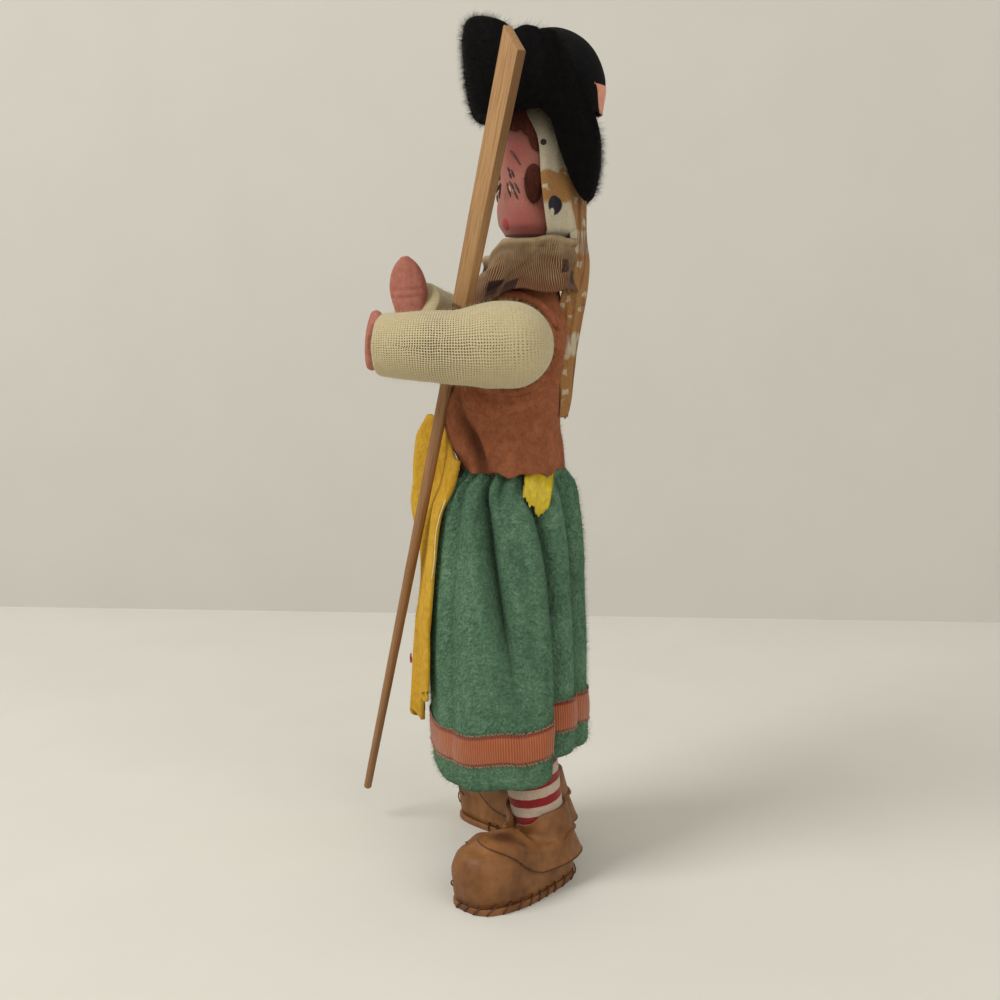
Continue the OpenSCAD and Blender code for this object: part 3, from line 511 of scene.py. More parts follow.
def vestPoint(u, v):
    a = 360 * u
    hem = vestCut["hem"] - 0.4 * cosd(9 * a) - 0.3 * cosd(16 * a + 40)
    z = between(hem, vestCut["top"], v)
    square = vestSquare(z)
    out = 1.35 + valueAt(vestCut["flare"], z) * (1 - 0.5 * ease(abs(sind(a)), 0.25, 0.9))
    for atHem, atTop, depth, width, end in vestCut["folds"]:
        share = ease(z, end, vestCut["hem"] + 4)
        share *= 0.4 + 0.6 * ease(z, vestCut["hem"] - 1, vestCut["hem"] + 8)
        out -= depth * share * (hillRound(a, between(atHem, atTop, v), width) - 0.08)
    back = 1.3 * ease(sind(a), 0.2, 0.9) * hill(z, shoulderZ + 3, 9)
    belly = 1.8 * hill(z, waistZ + 13, 8) - 1.0 * ease(z, waistZ + 5, waistZ - 1)
    front = ease(-sind(a), 0.3, 0.9) * belly
    out += back + front + 0.3 * roundNoise(a, 0.12 * z, 1.6, 0)
    out = max(out, 2.4 * ease(z, waistZ + 5, waistZ))  # stays over the skirt's gathers
    point = ringPoint(torsoCut["rings"], a, z, out, square)
    groove = hill(math.hypot(point.y - shoulder.y, z - shoulderZ), vestCut["armhole"] + 3, 0.8)
    groove *= ease(abs(cosd(a)), 0.3, 0.6)
    return ringPoint(torsoCut["rings"], a, z, out - 0.35 * groove, square)


# how deep each point lies in the vest's folds, kept as an attribute for the painted fold shade
def vestFoldShade(u, v):
    z = between(vestCut["hem"], vestCut["top"], v)
    deep = 0
    for atHem, atTop, depth, width, end in vestCut["folds"]:
        past = turned(360 * u - atHem - (atTop - atHem) * v)
        deep += depth * ease(z, end, vestCut["hem"] + 6) * hill(past, 0, width)
    return clamp(deep / 3)


vestBm = clothGrid(vestCut["columns"], vestCut["rows"], vestPoint, True, vestFoldShade)
armholeReach = (vestCut["armhole"] - 0.2) * 0.001
for side in (-1, 1):
    centre = spot(side * shoulder.x, shoulder.y, shoulderZ)
    inside = [face for face in vestBm.faces if side * face.calc_center_median().x > 0.006
              and (face.calc_center_median() - centre).yz.length < armholeReach]
    bmesh.ops.delete(vestBm, geom=inside, context="FACES")


def vestSideAt(y, z):  # how far out the vest's side stands
    square = vestSquare(z)
    halfWidth, front, back = rowAt(torsoCut["rings"], z)
    depth = (back - front) / 2 + 2.2
    share = clamp(abs(y - (front + back) / 2) / depth, 0, 0.93)
    return (halfWidth + 1.5) * (1 - share ** square) ** (1 / square)


vest = makePiece("vestFelt", vestBm, vestFelt, "torso", ["vest"])
thicken(vest, vestCut["thickness"])
for side, rimName in ((1, "vestRimLeft"), (-1, "vestRimRight")):
    loop = []
    for k in range(72):
        y = shoulder.y + vestCut["rimRing"] * cosd(5 * k)
        z = shoulderZ + vestCut["rimRing"] * sind(5 * k)
        loop.append(Vector((side * (vestSideAt(y, z) + 0.1), y, z)))
    rim = makePiece(rimName, tube(loop, vestCut["rim"], 10, closed=True), rimFelt, "torso")
    napOn(rimName + "Nap", rim, vestCut["nap"], rimFelt, "torso")
napOn("vestNap", vest, vestCut["nap"], vestFelt, "torso")
print("vest done")

# skirt: thick wool felt, gathered at the waist, with deep folds and a back lobe that hangs higher

skirtCut = {
    "columns": 330, "rows": 88, "thickness": 1.2, "hemZ": waistZ - 81, "top": waistZ + 1,
    "backRise": 7.4, "split": 31,
    "rings": [  # height, half width, front, back
        (waistZ - 81, 23, -21, 19), (waistZ - 61, 22.4, -22, 18.5), (waistZ - 43, 21, -22, 18.2),
        (waistZ - 25, 19, -20.8, 17.6), (waistZ - 12, 17.6, -19.4, 16.8),
        (waistZ - 5.4, 16.2, -17.4, 15.2), (waistZ - 2.2, 14.6, -13.9, 12.9),
        (waistZ + 1, 14.5, -13.8, 11.8)],
    # each fold: rows of how far down, place round the body and depth; then its width in degrees
    "folds": [([(0, -27, 1.4), (0.06, -25, 3.4), (0.2, -16, 4.8), (0.46, -4, 4.3), (0.56, 0, 2.6),
                (0.7, 4, 0.7), (1, 8, 0)], 5.5),
              ([(0, -48, 0.8), (0.1, -46, 1.6), (0.4, -43, 1.2), (1, -42, 0.6)], 7),
              ([(0, -9, 1.0), (0.05, -9, 2.0), (0.13, -8, 1.0), (0.2, -7, 0), (1, -6, 0)], 3.5),
              ([(0, 46, 1.0), (0.1, 50, 1.8), (0.5, 58, 1.8), (1, 62, 1.4)], 6),
              ([(0, 80, 0.8), (0.1, 84, 1.4), (0.5, 90, 1.6), (1, 92, 1.4)], 7),
              ([(0, 118, 0.8), (0.1, 117, 1.4), (0.5, 116, 1.7), (1, 116, 1.4)], 7),
              ([(0, 206, 1.0), (0.08, 204, 2.6), (0.3, 194, 3.6), (0.5, 187, 2.6), (0.75, 180, 0.5),
                (1, 176, 0)], 6),
              ([(0, 234, 0.8), (0.1, 232, 1.6), (0.5, 228, 1.5), (1, 224, 1.0)], 7)],
    # side splits: how far down, place and depth
    "splits": [[(0, 7, 1.0), (0.06, 12, 3.0), (0.2, 24, 4.2), (0.34, 30, 3.8), (0.52, 33, 3.2),
                (0.8, 31.5, 3.0), (1, 29.5, 2.9)],
               [(0, 173, 1.0), (0.06, 168, 3.0), (0.2, 156, 4.2), (0.34, 150, 3.8), (0.52, 147, 3.2),
                (0.8, 148.5, 3.0), (1, 150.5, 2.9)]],
    "nap": {"perMm": 2.6, "length": 1.7, "radius": 0.04, "least": 0.3, "bend": 0.6, "spread": 1.0,
            "brush": (0, 0, -0.3), "joints": 1, "seed": 7},
}
foldRows = {}


def foldsAt(low):  # every fold's and split's place and depth at one level
    level = round(low, 3)
    if level not in foldRows:
        foldRows[level] = ([(*rowAt(rows, level), width) for rows, width in skirtCut["folds"]],
                           [rowAt(rows, level) for rows in skirtCut["splits"]])
    return foldRows[level]


def skirtHem(a):
    step = ease(sind(a), sind(skirtCut["split"] - 0.6), sind(skirtCut["split"] + 2))
    wave = 0.5 * cosd(5 * a + 30) + 0.35 * cosd(8 * a)
    corner = 3.6 * ease(sind(a), 0.05, 0.5) * (1 - step)  # the front panel lifts towards the split
    return skirtCut["hemZ"] - 0.4 + wave + corner + skirtCut["backRise"] * step


def skirtPoint(a, v, offset=0.0):
    hem = skirtHem(a)
    z = between(hem, skirtCut["top"], v)
    low = 1 - v
    full = (1.2 - 0.8 * ease(abs(sind(a)), 0.55, 0.9)) * ease(low, 0.02, 0.3)
    folds, splits = foldsAt(low)
    for at, deep, width in folds:
        past = abs(turned(a - at)) / width
        # a crease in a soft hollow
        full -= deep * (0.5 * math.exp(-2.2 * past) + 0.5 * math.exp(-past * past))
        full += 0.22 * deep * hill(past, 2.1, 0.8)  # and the roll of cloth beside it
    for at, deep in splits:
        past = turned(a - at) if at < 90 else -turned(a - at)  # degrees towards the back
        soft = ease(low, 0.75, 0.45)
        crease = 0.5 * math.exp(-abs(past) / 2.2) + 0.5 * hill(past, 0, 7)
        step = ease(past, -2, 0.6) if past < 0.6 else hill(past, 0.6, 9)
        lap = 0.9 * ease(low, 0.05, 0.4) * hill(past, -9, 7)
        full -= deep * (soft * crease + (1 - soft) * step) - lap
    gather = 0.35 * hill(low, 0.07, 0.06) * (cosd(41 * a) + 0.6 * cosd(29 * a + 50))
    lump = 0.4 * roundNoise(a, 0.06 * z, 2.2, 4) + 0.12 * roundNoise(a, 0.5 * z, 14, 9)
    roll = -0.9 * hill(v, 0, 0.012)  # the cut edge turns in
    return ringPoint(skirtCut["rings"], a, z, offset + full + gather + lump + roll, 2.15)


# how deep each point lies in the skirt's folds and splits, kept as an attribute for the painted fold
# shade
def skirtFoldShade(u, v):
    folds, splits = foldsAt(1 - v)
    deep = sum(deep * math.exp(-1.3 * abs(turned(360 * u - at)) / width) for at, deep, width in folds)
    deep += sum(0.8 * deep * math.exp(-abs(turned(360 * u - at)) / 3.5) for at, deep in splits)
    return clamp(deep / 4)


skirt = clothPiece("skirtFelt", skirtCut, lambda u, v: skirtPoint(360 * u, v), skirtFelt, "torso",
                   ["skirt"], hollow=skirtFoldShade)
napOn("skirtNap", skirt, skirtCut["nap"], skirtFelt, "torso")
print("skirt done")

# grosgrain ribbon round the hem: ribs across it and looped edges

ribbonCut = {"columns": 330, "rows": 10, "low": 7.2, "high": 14.6, "ribs": 240, "thickness": 0.35,
             "loops": 150}
grosgrain = newMaterial("grosgrain", {"Roughness": 0.6, "Sheen Weight": 0.25, "Specular IOR Level": 0.3})
ribbonSpots = onCloth(grosgrain, ribbonCut["ribs"], 1)
ribbonParts = parts(ribbonSpots)
ribWave = wave(ribbonParts["X"])
ribTone = ramp(calc("MULTIPLY_ADD", ribWave, 0.5, 0.5),
               [(0.1, paint(134, 62, 28)), (0.6, paint(160, 82, 42)), (1.0, paint(174, 96, 54))])
ribbonAge = speckle(inMillimetres(grosgrain), 0.12, detail=3)
agedTone = blendColour(ramp(ribbonAge, [(0.3, 0.0), (0.8, 0.35)]), ribTone, paint(184, 118, 82))
edgeLine = ramp(ribbonParts["Y"], [(0.0, 0.7), (0.05, 0.3), (0.08, 0.0), (0.88, 0.0), (0.92, 0.8),
                                   (1.0, 0.8)])
plug(grosgrain, "Base Color", blendColour(edgeLine, agedTone, paint(112, 38, 24)))
bumpFrom(grosgrain, ribWave, 0.5, 0.15)


def ribbonPoint(u, v):
    a = 360 * u
    rise = between(ribbonCut["low"], ribbonCut["high"], v)
    share = rise / (skirtCut["top"] - skirtHem(a))
    swell = 0.25 * math.sin(math.pi * v)
    return skirtPoint(a, share, 0.45 + swell)


ribbon = clothPiece("skirtRibbon", ribbonCut, ribbonPoint, grosgrain, "torso",
                    ["skirt_ribbon"])

picotThread = tonedMaterial("picotThread", {"Roughness": 0.7}, 2.0, paint(168, 98, 66),
                            paint(202, 142, 108))
picotBm = bmesh.new()
for edge, lift in ((0.0, -1), (1.0, 1)):
    for k in range(ribbonCut["loops"]):
        u = (k + 0.5 * random.random()) / ribbonCut["loops"]
        start = Vector(ribbonPoint(u, edge))
        step = Vector(ribbonPoint((u + 0.0025) % 1, edge)) - start
        tip = Vector((0, 0, lift * (0.45 + 0.25 * random.random())))
        out = Vector((start.x, start.y, 0)).normalized() * 0.15
        addInto(picotBm, tube([start, start + step + tip + out, start + 2 * step + 0.2 * tip], 0.11, 4))
makePiece("ribbonPicot", picotBm, picotThread, "torso")
print("ribbon done")

# apron: yellow felt that hangs in front of the skirt, with a deep fold on its far side

apronCut = {
    "columns": 72, "rows": 110, "top": waistZ + 9, "length": 78, "width": 26, "thickness": 1.1,
    "farX": -9.5, "reach": 4.0, "bulge": 10.0,
    "shares": [(0, 0.8), (0.07, 1.1), (0.16, 1.1), (0.27, 0.8), (0.45, 0.38), (0.62, 0.24), (0.85, 0.34),
               (1, 0.46)],
    "front": [(waistZ - 43, -24.2), (waistZ - 25, -21.9), (waistZ - 12, -20.4), (waistZ - 5.4, -18),
              (waistZ + 2, -16.8)],
    "round": [(waistZ - 25, 6), (waistZ - 12, 7), (waistZ, 12), (waistZ + 9, 13)],
    "nap": {"perMm": 1.2, "length": 0.8, "radius": 0.035, "least": 0.4, "bend": 0.5, "spread": 0.9,
            "brush": (0, 0, -0.2), "joints": 1, "seed": 13},
}


def apronPoint(u, v, offset=1.2):
    slant = 2.5 - 10 * ease(u, 0.45, 0.95)  # the near side comes out from under the vest
    z = apronCut["top"] + slant * (1 - v) ** 3 - apronCut["length"] * v
    x = apronCut["width"] * (u - 0.5) * (0.8 + 0.2 * v)
    rest = valueAt(apronCut["front"], z) + valueAt(apronCut["round"], z) * (x / 20) ** 2
    nearFold = hill(x, apronCut["farX"], apronCut["reach"])
    swell = apronCut["bulge"] * valueAt(apronCut["shares"], v) * nearFold
    ripple = 0.35 * math.sin(9 * v + 5 * u) * ease(v, 0.15, 0.6)
    ragged = 0.9 * math.sin(21 * u) + 1.6 * noise.noise(Vector((9 * u, 4, 0)))
    drop = ease(v, 0.84, 1.0) * (3.0 * (0.5 - u) - 8 * ease(u, 0.45, 1)) + ragged * ease(v, 0.93, 1.0)
    return Vector((x, rest - swell - offset - ripple, z - drop))


apron = clothPiece("apronFelt", apronCut, lambda u, v: apronPoint(u, 1 - v), apronFelt, "torso",
                   ["apron"], closed=False)
napOn("apronNap", apron, apronCut["nap"], apronFelt, "torso")
print("apron done")

# red dot sewn on the apron's far fold, and loose threads at its near edge

dotCut = {"share": 0.82, "radius": 1.3, "turns": 3, "thread": 0.22}
redThread = tonedMaterial("redThread", {"Roughness": 0.65, "Sheen Weight": 0.2}, 2.5, paint(138, 18, 18),
                          paint(190, 44, 36))
dotMiddle = apronPoint(0.5 + apronCut["farX"] / apronCut["width"], dotCut["share"], 1.6)
dotPath = []
for k in range(73):
    reach = dotCut["radius"] * k / 72
    a = 15 * dotCut["turns"] * k
    dotPath.append(dotMiddle + Vector((reach * cosd(a), -0.25 + 0.15 * reach, reach * sind(a))))
makePiece("apronDot", tube(dotPath, dotCut["thread"], 6), redThread, "torso", ["apron_dot"])

threadCut = {"edge": [(0.995, 0.17), (1.02, 0.24), (1.0, 0.31), (1.025, 0.4), (1.0, 0.47)],
             "radius": 0.14}
apronThread = tonedMaterial("apronThread", {"Roughness": 0.7, "Sheen Weight": 0.2}, 1.2,
                            paint(206, 182, 122), paint(228, 212, 168))
edgeMarks = [apronPoint(u, v, 0.9) for u, v in threadCut["edge"]]
edgePath = [Vector(curveAt(edgeMarks, k / 8)) for k in range(8 * len(edgeMarks) - 7)]
makePiece("apronLooseThread", tube(edgePath, threadCut["radius"], 6), apronThread, "torso")

# satin ribbon end under the vest: a notched, fraying end with looped edges

satinCut = {"columns": 30, "rows": 40, "angle": 21, "width": 7.0, "lift": 2.2, "y": 6.3, "top": 0.985,
            "thickness": 0.25, "skirtLength": 82, "loops": 18,
            "ends": [(0, 6.6), (0.15, 7.4), (0.32, 9.4), (0.45, 9.0), (0.62, 11.8), (0.8, 11.4),
                     (1, 9.6)]}
satin = newMaterial("satin", {"Roughness": 0.3, "Anisotropic": 0.5, "Specular IOR Level": 0.5,
                              "Sheen Weight": 0.1})
satinSpots = onCloth(satin, 46, 40)
satinParts = parts(satinSpots)
satinWeft = wave(satinParts["Y"])
satinTone = speckle(satinSpots, 0.12, detail=4)
satinColour = ramp(satinTone, [(0.3, paint(178, 148, 4)), (0.6, paint(204, 178, 12)),
                               (0.8, paint(226, 206, 48))])
plug(satin, "Base Color", satinColour)
bumpFrom(satin, satinWeft, 0.25, 0.08)


def satinPoint(u, v):
    ends = valueAt(satinCut["ends"], u) + 0.35 * math.sin(47 * u) * ease(v, 0.8, 1)
    lift = satinCut["lift"] * ease(v, 0.05, 0.5) + 0.4 * v * v
    place = skirtPoint(satinCut["angle"], satinCut["top"] - v * ends / satinCut["skirtLength"], lift)
    across = (u - 0.5) * satinCut["width"]
    # a flat strip that bends a little round the skirt and slants towards the front
    bent = (0.48 - 0.26 * ease(v, 0.1, 0.6)) * across + 0.03 * across * across
    bent -= 0.2 * math.sin(5 * u + 3 * v)
    bent += 1.6 * ease(u, 0.45, 0.9) * ease(v, 0.22, 0.07)  # tucked in under the vest
    return Vector((place.x - bent, satinCut["y"] - 0.16 * v * ends + across, place.z))


satinEnd = clothPiece("satinRibbonEnd", satinCut, lambda u, v: satinPoint(u, 1 - v), satin, "torso",
                      ["ribbon_end"], closed=False)
picotBm = bmesh.new()
for edge, way in ((0.0, -1), (1.0, 1)):
    for k in range(satinCut["loops"]):
        v = (k + 0.3) / satinCut["loops"] * 0.94
        start = satinPoint(edge, v)
        step = satinPoint(edge, v + 0.02) - start
        across = (satinPoint(0.55, v) - satinPoint(0.45, v)).normalized() * way * 0.4
        addInto(picotBm, tube([start, start + step + across, start + 2 * step], 0.09, 4))
makePiece("satinPicot", picotBm, satin, "torso")
print("apron trims and satin end done")

# neckerchief: sheer ribbed cloth with woven spots, crossed low at the front and standing at the neck

kerchiefCut = {
    "columns": 240, "rows": 52, "thickness": 0.4, "ribs": 170,
    "low": shoulderZ + 13, "high": neckTopZ + 0.8, "frontDrop": 4.0,
    "rings": [(shoulderZ + 7, 17.0, -11.4, 12.8), (shoulderZ + 12, 15.2, -9.8, 12.8),
              (shoulderZ + 15, 14.2, -7.8, 12.8), (shoulderZ + 20, 12, -4.8, 12.8),
              (neckTopZ + 3, 10.4, -2.6, 12.6)],
}
kerchiefGauze = newMaterial("kerchiefGauze", {"Roughness": 0.8, "Sheen Weight": 0.05,
                                              "Specular IOR Level": 0.2})
kerchiefParts = parts(onCloth(kerchiefGauze, kerchiefCut["ribs"], 1))
bend = speckle(onCloth(kerchiefGauze, 9, 2), 1.0, detail=2)
ribPlace = calc("MULTIPLY_ADD", bend, 1.6, kerchiefParts["X"])
ribPlace = calc("MULTIPLY_ADD", kerchiefParts["Y"], 4.0, ribPlace)
ribs = wave(ribPlace)
ribs = calc("MULTIPLY_ADD", ribs, 0.5, 0.5)
# woven spots with blocky outlines, broken up by the ribs
spotField = addAfter("ShaderNodeTexVoronoi", {"Vector": onCloth(kerchiefGauze, 15, 2.4), "Scale": 1.0,
                    "Randomness": 0.75}, distance="CHEBYCHEV")
spotFray = speckle(onCloth(kerchiefGauze, 170, 30), 1.0, detail=2)
spotEdge = calc("MULTIPLY_ADD", spotFray, 0.16, spotField.outputs["Distance"])
spotMask = ramp(spotEdge, [(0.34, 1.0), (0.4, 0.0)])
spotMask = calc("MULTIPLY", spotMask, calc("MULTIPLY_ADD", ribs, 0.3, 0.7))
gauzeTone = ramp(ribs, [(0.1, paint(70, 44, 26)), (0.6, paint(116, 84, 54)), (1.0, paint(164, 134, 98))])
gauzeShade = ramp(speckle(inMillimetres(kerchiefGauze), 0.2, detail=3), [(0.35, 0.0), (0.7, 0.5)])
gauzeTone = blendColour(gauzeShade, gauzeTone, paint(86, 50, 28))
# paler where the cloth lies double at the top, browner where the vest shows through
hemSway = speckle(onCloth(kerchiefGauze, 14, 3), 1.0, detail=2)
hemPlace = calc("MULTIPLY_ADD", hemSway, 0.5, kerchiefParts["Y"])
gauzeTone = blendColour(ramp(hemPlace, [(0.3, 0.7), (0.6, 0.0)]), gauzeTone, paint(92, 52, 30))
paleMask = ramp(calc("MULTIPLY", hemPlace, 0.5), [(0.42, 0.0), (0.66, 0.85)])
gauzeTone = blendColour(paleMask, gauzeTone, paint(176, 154, 118))
spotMask = calc("MULTIPLY", spotMask, ramp(calc("MULTIPLY", hemPlace, 0.5), [(0.47, 1.0), (0.55, 0.15)]))
plug(kerchiefGauze, "Base Color", blendColour(spotMask, gauzeTone, paint(38, 22, 16)))
bumpFrom(kerchiefGauze, ribs, 0.4, 0.12)


def kerchiefPoint(u, v):
    a = 360 * u
    front = ease(-sind(a), 0.2, 1.0)
    low = kerchiefCut["low"] - 5 * front + 0.5 * cosd(7 * a + 20)
    high = kerchiefCut["high"] - kerchiefCut["frontDrop"] * ease(-sind(a), 0.7, 1.0)
    high = high + 0.8 * hillRound(a, 18, 14) + 0.8 * hillRound(a, 162, 14)
    z = between(low, high, v)
    slope = z - shoulderZ
    fold = 0.6 * cosd(12 * a + 16 * slope) + 0.55 * cosd(7 * a - 19 * slope)
    fold += 0.5 * roundNoise(a, 0.3 * z, 4, 3)
    crease = -1.1 * math.exp(-abs(turned(a + 28 - 5 * (slope - 16))) / 5)
    crease -= 0.8 * math.exp(-abs(turned(a - 40 + 4 * (slope - 16))) / 5)
    mirrored = -1.1 * math.exp(-abs(turned(a - 208 + 5 * (slope - 16))) / 5)
    lip = 1.3 * hill(v, 0.94, 0.09) + 0.6 * hill(v, 0, 0.08)
    square = 2 + 0.9 * ease(sind(a), 0.1, 0.6)  # fuller behind the shoulders, under the tail of the scarf
    loopRoom = 1.1 * hillRound(a, -38, 20) * (1 - v)  # for the oar's loop when the arm is raised
    folds = (fold + crease + mirrored) * (0.35 + 0.65 * math.sin(math.pi * v))
    return ringPoint(kerchiefCut["rings"], a, z, 2.3 - loopRoom + folds + lip, square)


kerchief = clothPiece("kerchiefCloth", kerchiefCut, kerchiefPoint, kerchiefGauze, "torso",
                      ["neckerchief"])
print("neckerchief done")

# head: stuffed cotton under a smooth pink felt face

headCut = {"columns": 64, "rows": 48, "half": (11.3, 9.4, 20.25), "power": 2.3, "y": 5.8}


def headShare(z):
    away = abs((z - headMiddle.z) / headCut["half"][2])
    return max(0.0, 1 - away ** headCut["power"]) ** (1 / headCut["power"])


def headPoint(a, z, offset, share=None):
    share = headShare(z) if share is None else share
    return Vector((max(0.0, headCut["half"][0] * share + offset) * cosd(a),
                   headCut["y"] + max(0.0, headCut["half"][1] * share + offset) * sind(a), z))


def headCorePoint(u, v):
    return headPoint(360 * u, headMiddle.z - headCut["half"][2] * cosd(180 * v), -0.05)


head = clothPiece("headCloth", headCut, headCorePoint, bodyCotton, "head", ["head_stuffing"])

faceCut = {"columns": 96, "rows": 72, "middle": 303, "start": 170, "end": 370, "thickness": 0.8,
           "low": neckTopZ + 1.6, "high": headMiddle.z + 16,
           "noseZ": headMiddle.z - 8.5, "cheekZ": headMiddle.z - 12.5, "chinZ": headMiddle.z - 17.5}
faceFelt = newMaterial("faceFelt", {"Roughness": 0.75, "Sheen Weight": 0.15, "Specular IOR Level": 0.3})
facePlace = inMillimetres(faceFelt)
faceGrain = speckle(facePlace, 2.2, detail=5, roughness=0.7)
faceTone = ramp(faceGrain, [(0.3, paint(140, 85, 73)), (0.55, paint(156, 98, 84)),
                            (0.8, paint(168, 110, 94))])


def blushAndShadeAt(angle, z, reach):
    far = farFrom(facePlace, headPoint(angle, z, 1))
    return ramp(calc("DIVIDE", far, reach), [(0.2, 0.65), (1.0, 0.0)])


for blushAngle, blushZ, blushReach in (
        (330, faceCut["cheekZ"] - 3, 8), (210, faceCut["cheekZ"] - 3, 8),
        (325, headMiddle.z + 1, 6), (215, headMiddle.z + 1, 6)):
    faceTone = blendColour(blushAndShadeAt(blushAngle, blushZ, blushReach), faceTone, paint(148, 64, 60))
for hairAngle in (350, 190):  # painted shade: the skin darkens under the hair
    faceTone = blendColour(blushAndShadeAt(hairAngle, headMiddle.z + 7, 12), faceTone, paint(84, 36, 28))
plug(faceFelt, "Base Color", faceTone)
bumpFrom(faceFelt, faceGrain, 0.15, 0.2)


def faceOffset(a, z):
    side = abs(turned(a - faceCut["middle"]))
    nose = 0.8 * hill(side, 0, 7) * hill(z, faceCut["noseZ"], 2.4)
    chin = 0.4 * hill(side, 0, 22) * hill(z, faceCut["chinZ"], 3)
    cheek = 0.9 * hill(side, 32, 18) * hill(z, faceCut["cheekZ"], 5)
    socket = -0.4 * hill(side, 18, 10) * hill(z, headMiddle.z - 5, 4)
    brow = 0.3 * hill(side, 0, 50) * hill(z, headMiddle.z + 2, 4)
    muzzle = 0.4 * hill(side, 0, 34) * hill(z, headMiddle.z - 13.4, 4.6)
    return 0.95 + nose + chin + cheek + socket + brow + muzzle


def faceShare(z):  # the jaw stays wide below the middle of the head
    jaw = 0.9 - 0.12 * ease(z, faceCut["low"] + 3, faceCut["low"])
    return max(headShare(z), jaw) if z < headMiddle.z else headShare(z)


def facePoint(u, v):
    a = between(faceCut["start"], faceCut["end"], u)
    t = clamp((v - 0.1) / 0.9)
    z = between(faceCut["low"], faceCut["high"], t)
    point = headPoint(a, z, faceOffset(a, z), faceShare(z))
    under = 1 - 0.55 * math.cos(math.pi / 2 * clamp(v / 0.1)) if v < 0.1 else 1  # the chin's underside
    return Vector((point.x * under, headCut["y"] + (point.y - headCut["y"]) * under,
                   z - 0.6 * (1 - under)))


face = clothPiece("faceFelt", faceCut, facePoint, faceFelt, "head", ["face"], closed=False)


# brows and lashes: strands laid on the felt, for both eyes
def strand(marks, radius, lift):
    path = []
    for k in range(4 * len(marks) - 3):
        side, z = curveAt(marks, k / 4)
        a = faceCut["middle"] + side
        path.append(headPoint(a, z, faceOffset(a, z) + lift, faceShare(z)))
    return tube(path, radius, 6, taper=lambda v: 0.35 + 0.65 * math.sin(math.pi * clamp(v, 0.03, 0.97)))


featureCut = {
    # degrees from the middle of the face and height over the middle of the head
    "dark": [[(14, 1.3), (20, 0.4), (30, -2.2)], [(8, -2.6), (11, -3.6)], [(10, -3.8), (13, -5.2)],
             [(14, -3.2), (18, -5.0)], [(6, -6.2), (9, -8.0), (12, -9.6)],
             [(10, -6.0), (15, -7.2), (19, -8.6)], [(16, -7.8), (21, -9.0), (26, -10.4)],
             [(19, -6.4), (24, -7.6), (29, -9.0)]],
    "white": [[(9, -7.0), (13, -8.6)], [(15, -7.6), (20, -9.0)]],
    "radius": 0.3,
    "wider": 9,  # the far eye sits a little wider
    "lift": {"dark": 0.1, "white": 0.02},
}
mouthCut = {"columns": 28, "rows": 14, "side": 8, "z": headMiddle.z - 16.2, "tall": 1.45, "thick": 0.16}
facePaint = tonedMaterial("facePaint", {"Roughness": 0.5}, 2.0, paint(30, 16, 14), paint(62, 34, 28))
whitePaint = tonedMaterial("whitePaint", {"Roughness": 0.5}, 2.0, paint(196, 142, 128),
                           paint(214, 172, 158))
for markName, markPaint in (("dark", facePaint), ("white", whitePaint)):
    markBm = bmesh.new()
    for mark in featureCut[markName]:
        for side in (-1, 1):
            apart = featureCut["wider"] if side < 0 else 0
            marks = [(side * (place + apart), headMiddle.z + z) for place, z in mark]
            addInto(markBm, strand(marks, featureCut["radius"], featureCut["lift"][markName]))
    makePiece("face" + markName.capitalize() + "Marks", markBm, markPaint, "head")


def mouthPoint(u, v):
    reach = math.sin(math.pi * v)
    a = faceCut["middle"] + mouthCut["side"] * reach * cosd(360 * u)
    z = mouthCut["z"] + mouthCut["tall"] * reach * sind(360 * u)
    return headPoint(a, z, faceOffset(a, z) + mouthCut["thick"] * math.cos(math.pi * v), faceShare(z))


lipPaint = tonedMaterial("lipPaint", {"Roughness": 0.45}, 1.6, paint(136, 28, 28), paint(166, 46, 42))
clothPiece("faceMouth", mouthCut, lambda u, v: mouthPoint(u, 1 - v), lipPaint, "head")

# hair: a soft lobe at each temple and a fringe under the brim

hairCut = {
    # place round the head, height, half width in degrees, half height, thickness
    "lobes": [(-8, headMiddle.z - 6.8, 12, 4.7, 1.9), (-3, headMiddle.z + 6, 13, 5.2, 0.8),
              (-12, headMiddle.z + 9.4, 17, 5.0, 1.1), (-34, headMiddle.z + 10, 17, 4.2, 1.1),
              (-62, headMiddle.z + 10, 19, 4, 1.0), (-90, headMiddle.z + 10.2, 17, 3.8, 1.0)],
    "nap": {"perMm": 2.2, "length": 1.6, "radius": 0.05, "least": 0.5, "bend": 0.7, "spread": 0.5,
            "brush": (0, 0, -1.2), "joints": 2, "seed": 21},
}
hairBm = bmesh.new()
for angle, z, wide, tall, thick in hairCut["lobes"]:
    for mirrored in ((angle, 180 - angle) if angle > -90 else (angle,)):
        def lobePoint(u, v, middle=mirrored, z=z, wide=wide, tall=tall, thick=thick):
            reach = math.sin(math.pi * v)
            a = middle + wide * reach * cosd(360 * u)
            height = z + tall * reach * sind(360 * u)
            out = 1.1 + thick * (0.5 - 0.5 * math.cos(math.pi * v))
            return headPoint(a, height, out, faceShare(height))
        addInto(hairBm, clothGrid(36, 12, lobePoint, True))
hair = makePiece("hairFelt", hairBm, hairFelt, "head", ["hair"])
napOn("hairNap", hair, hairCut["nap"], hairFelt, "head")
print("head, face and hair done")

# headscarf: printed cotton that hangs straight from under the hat

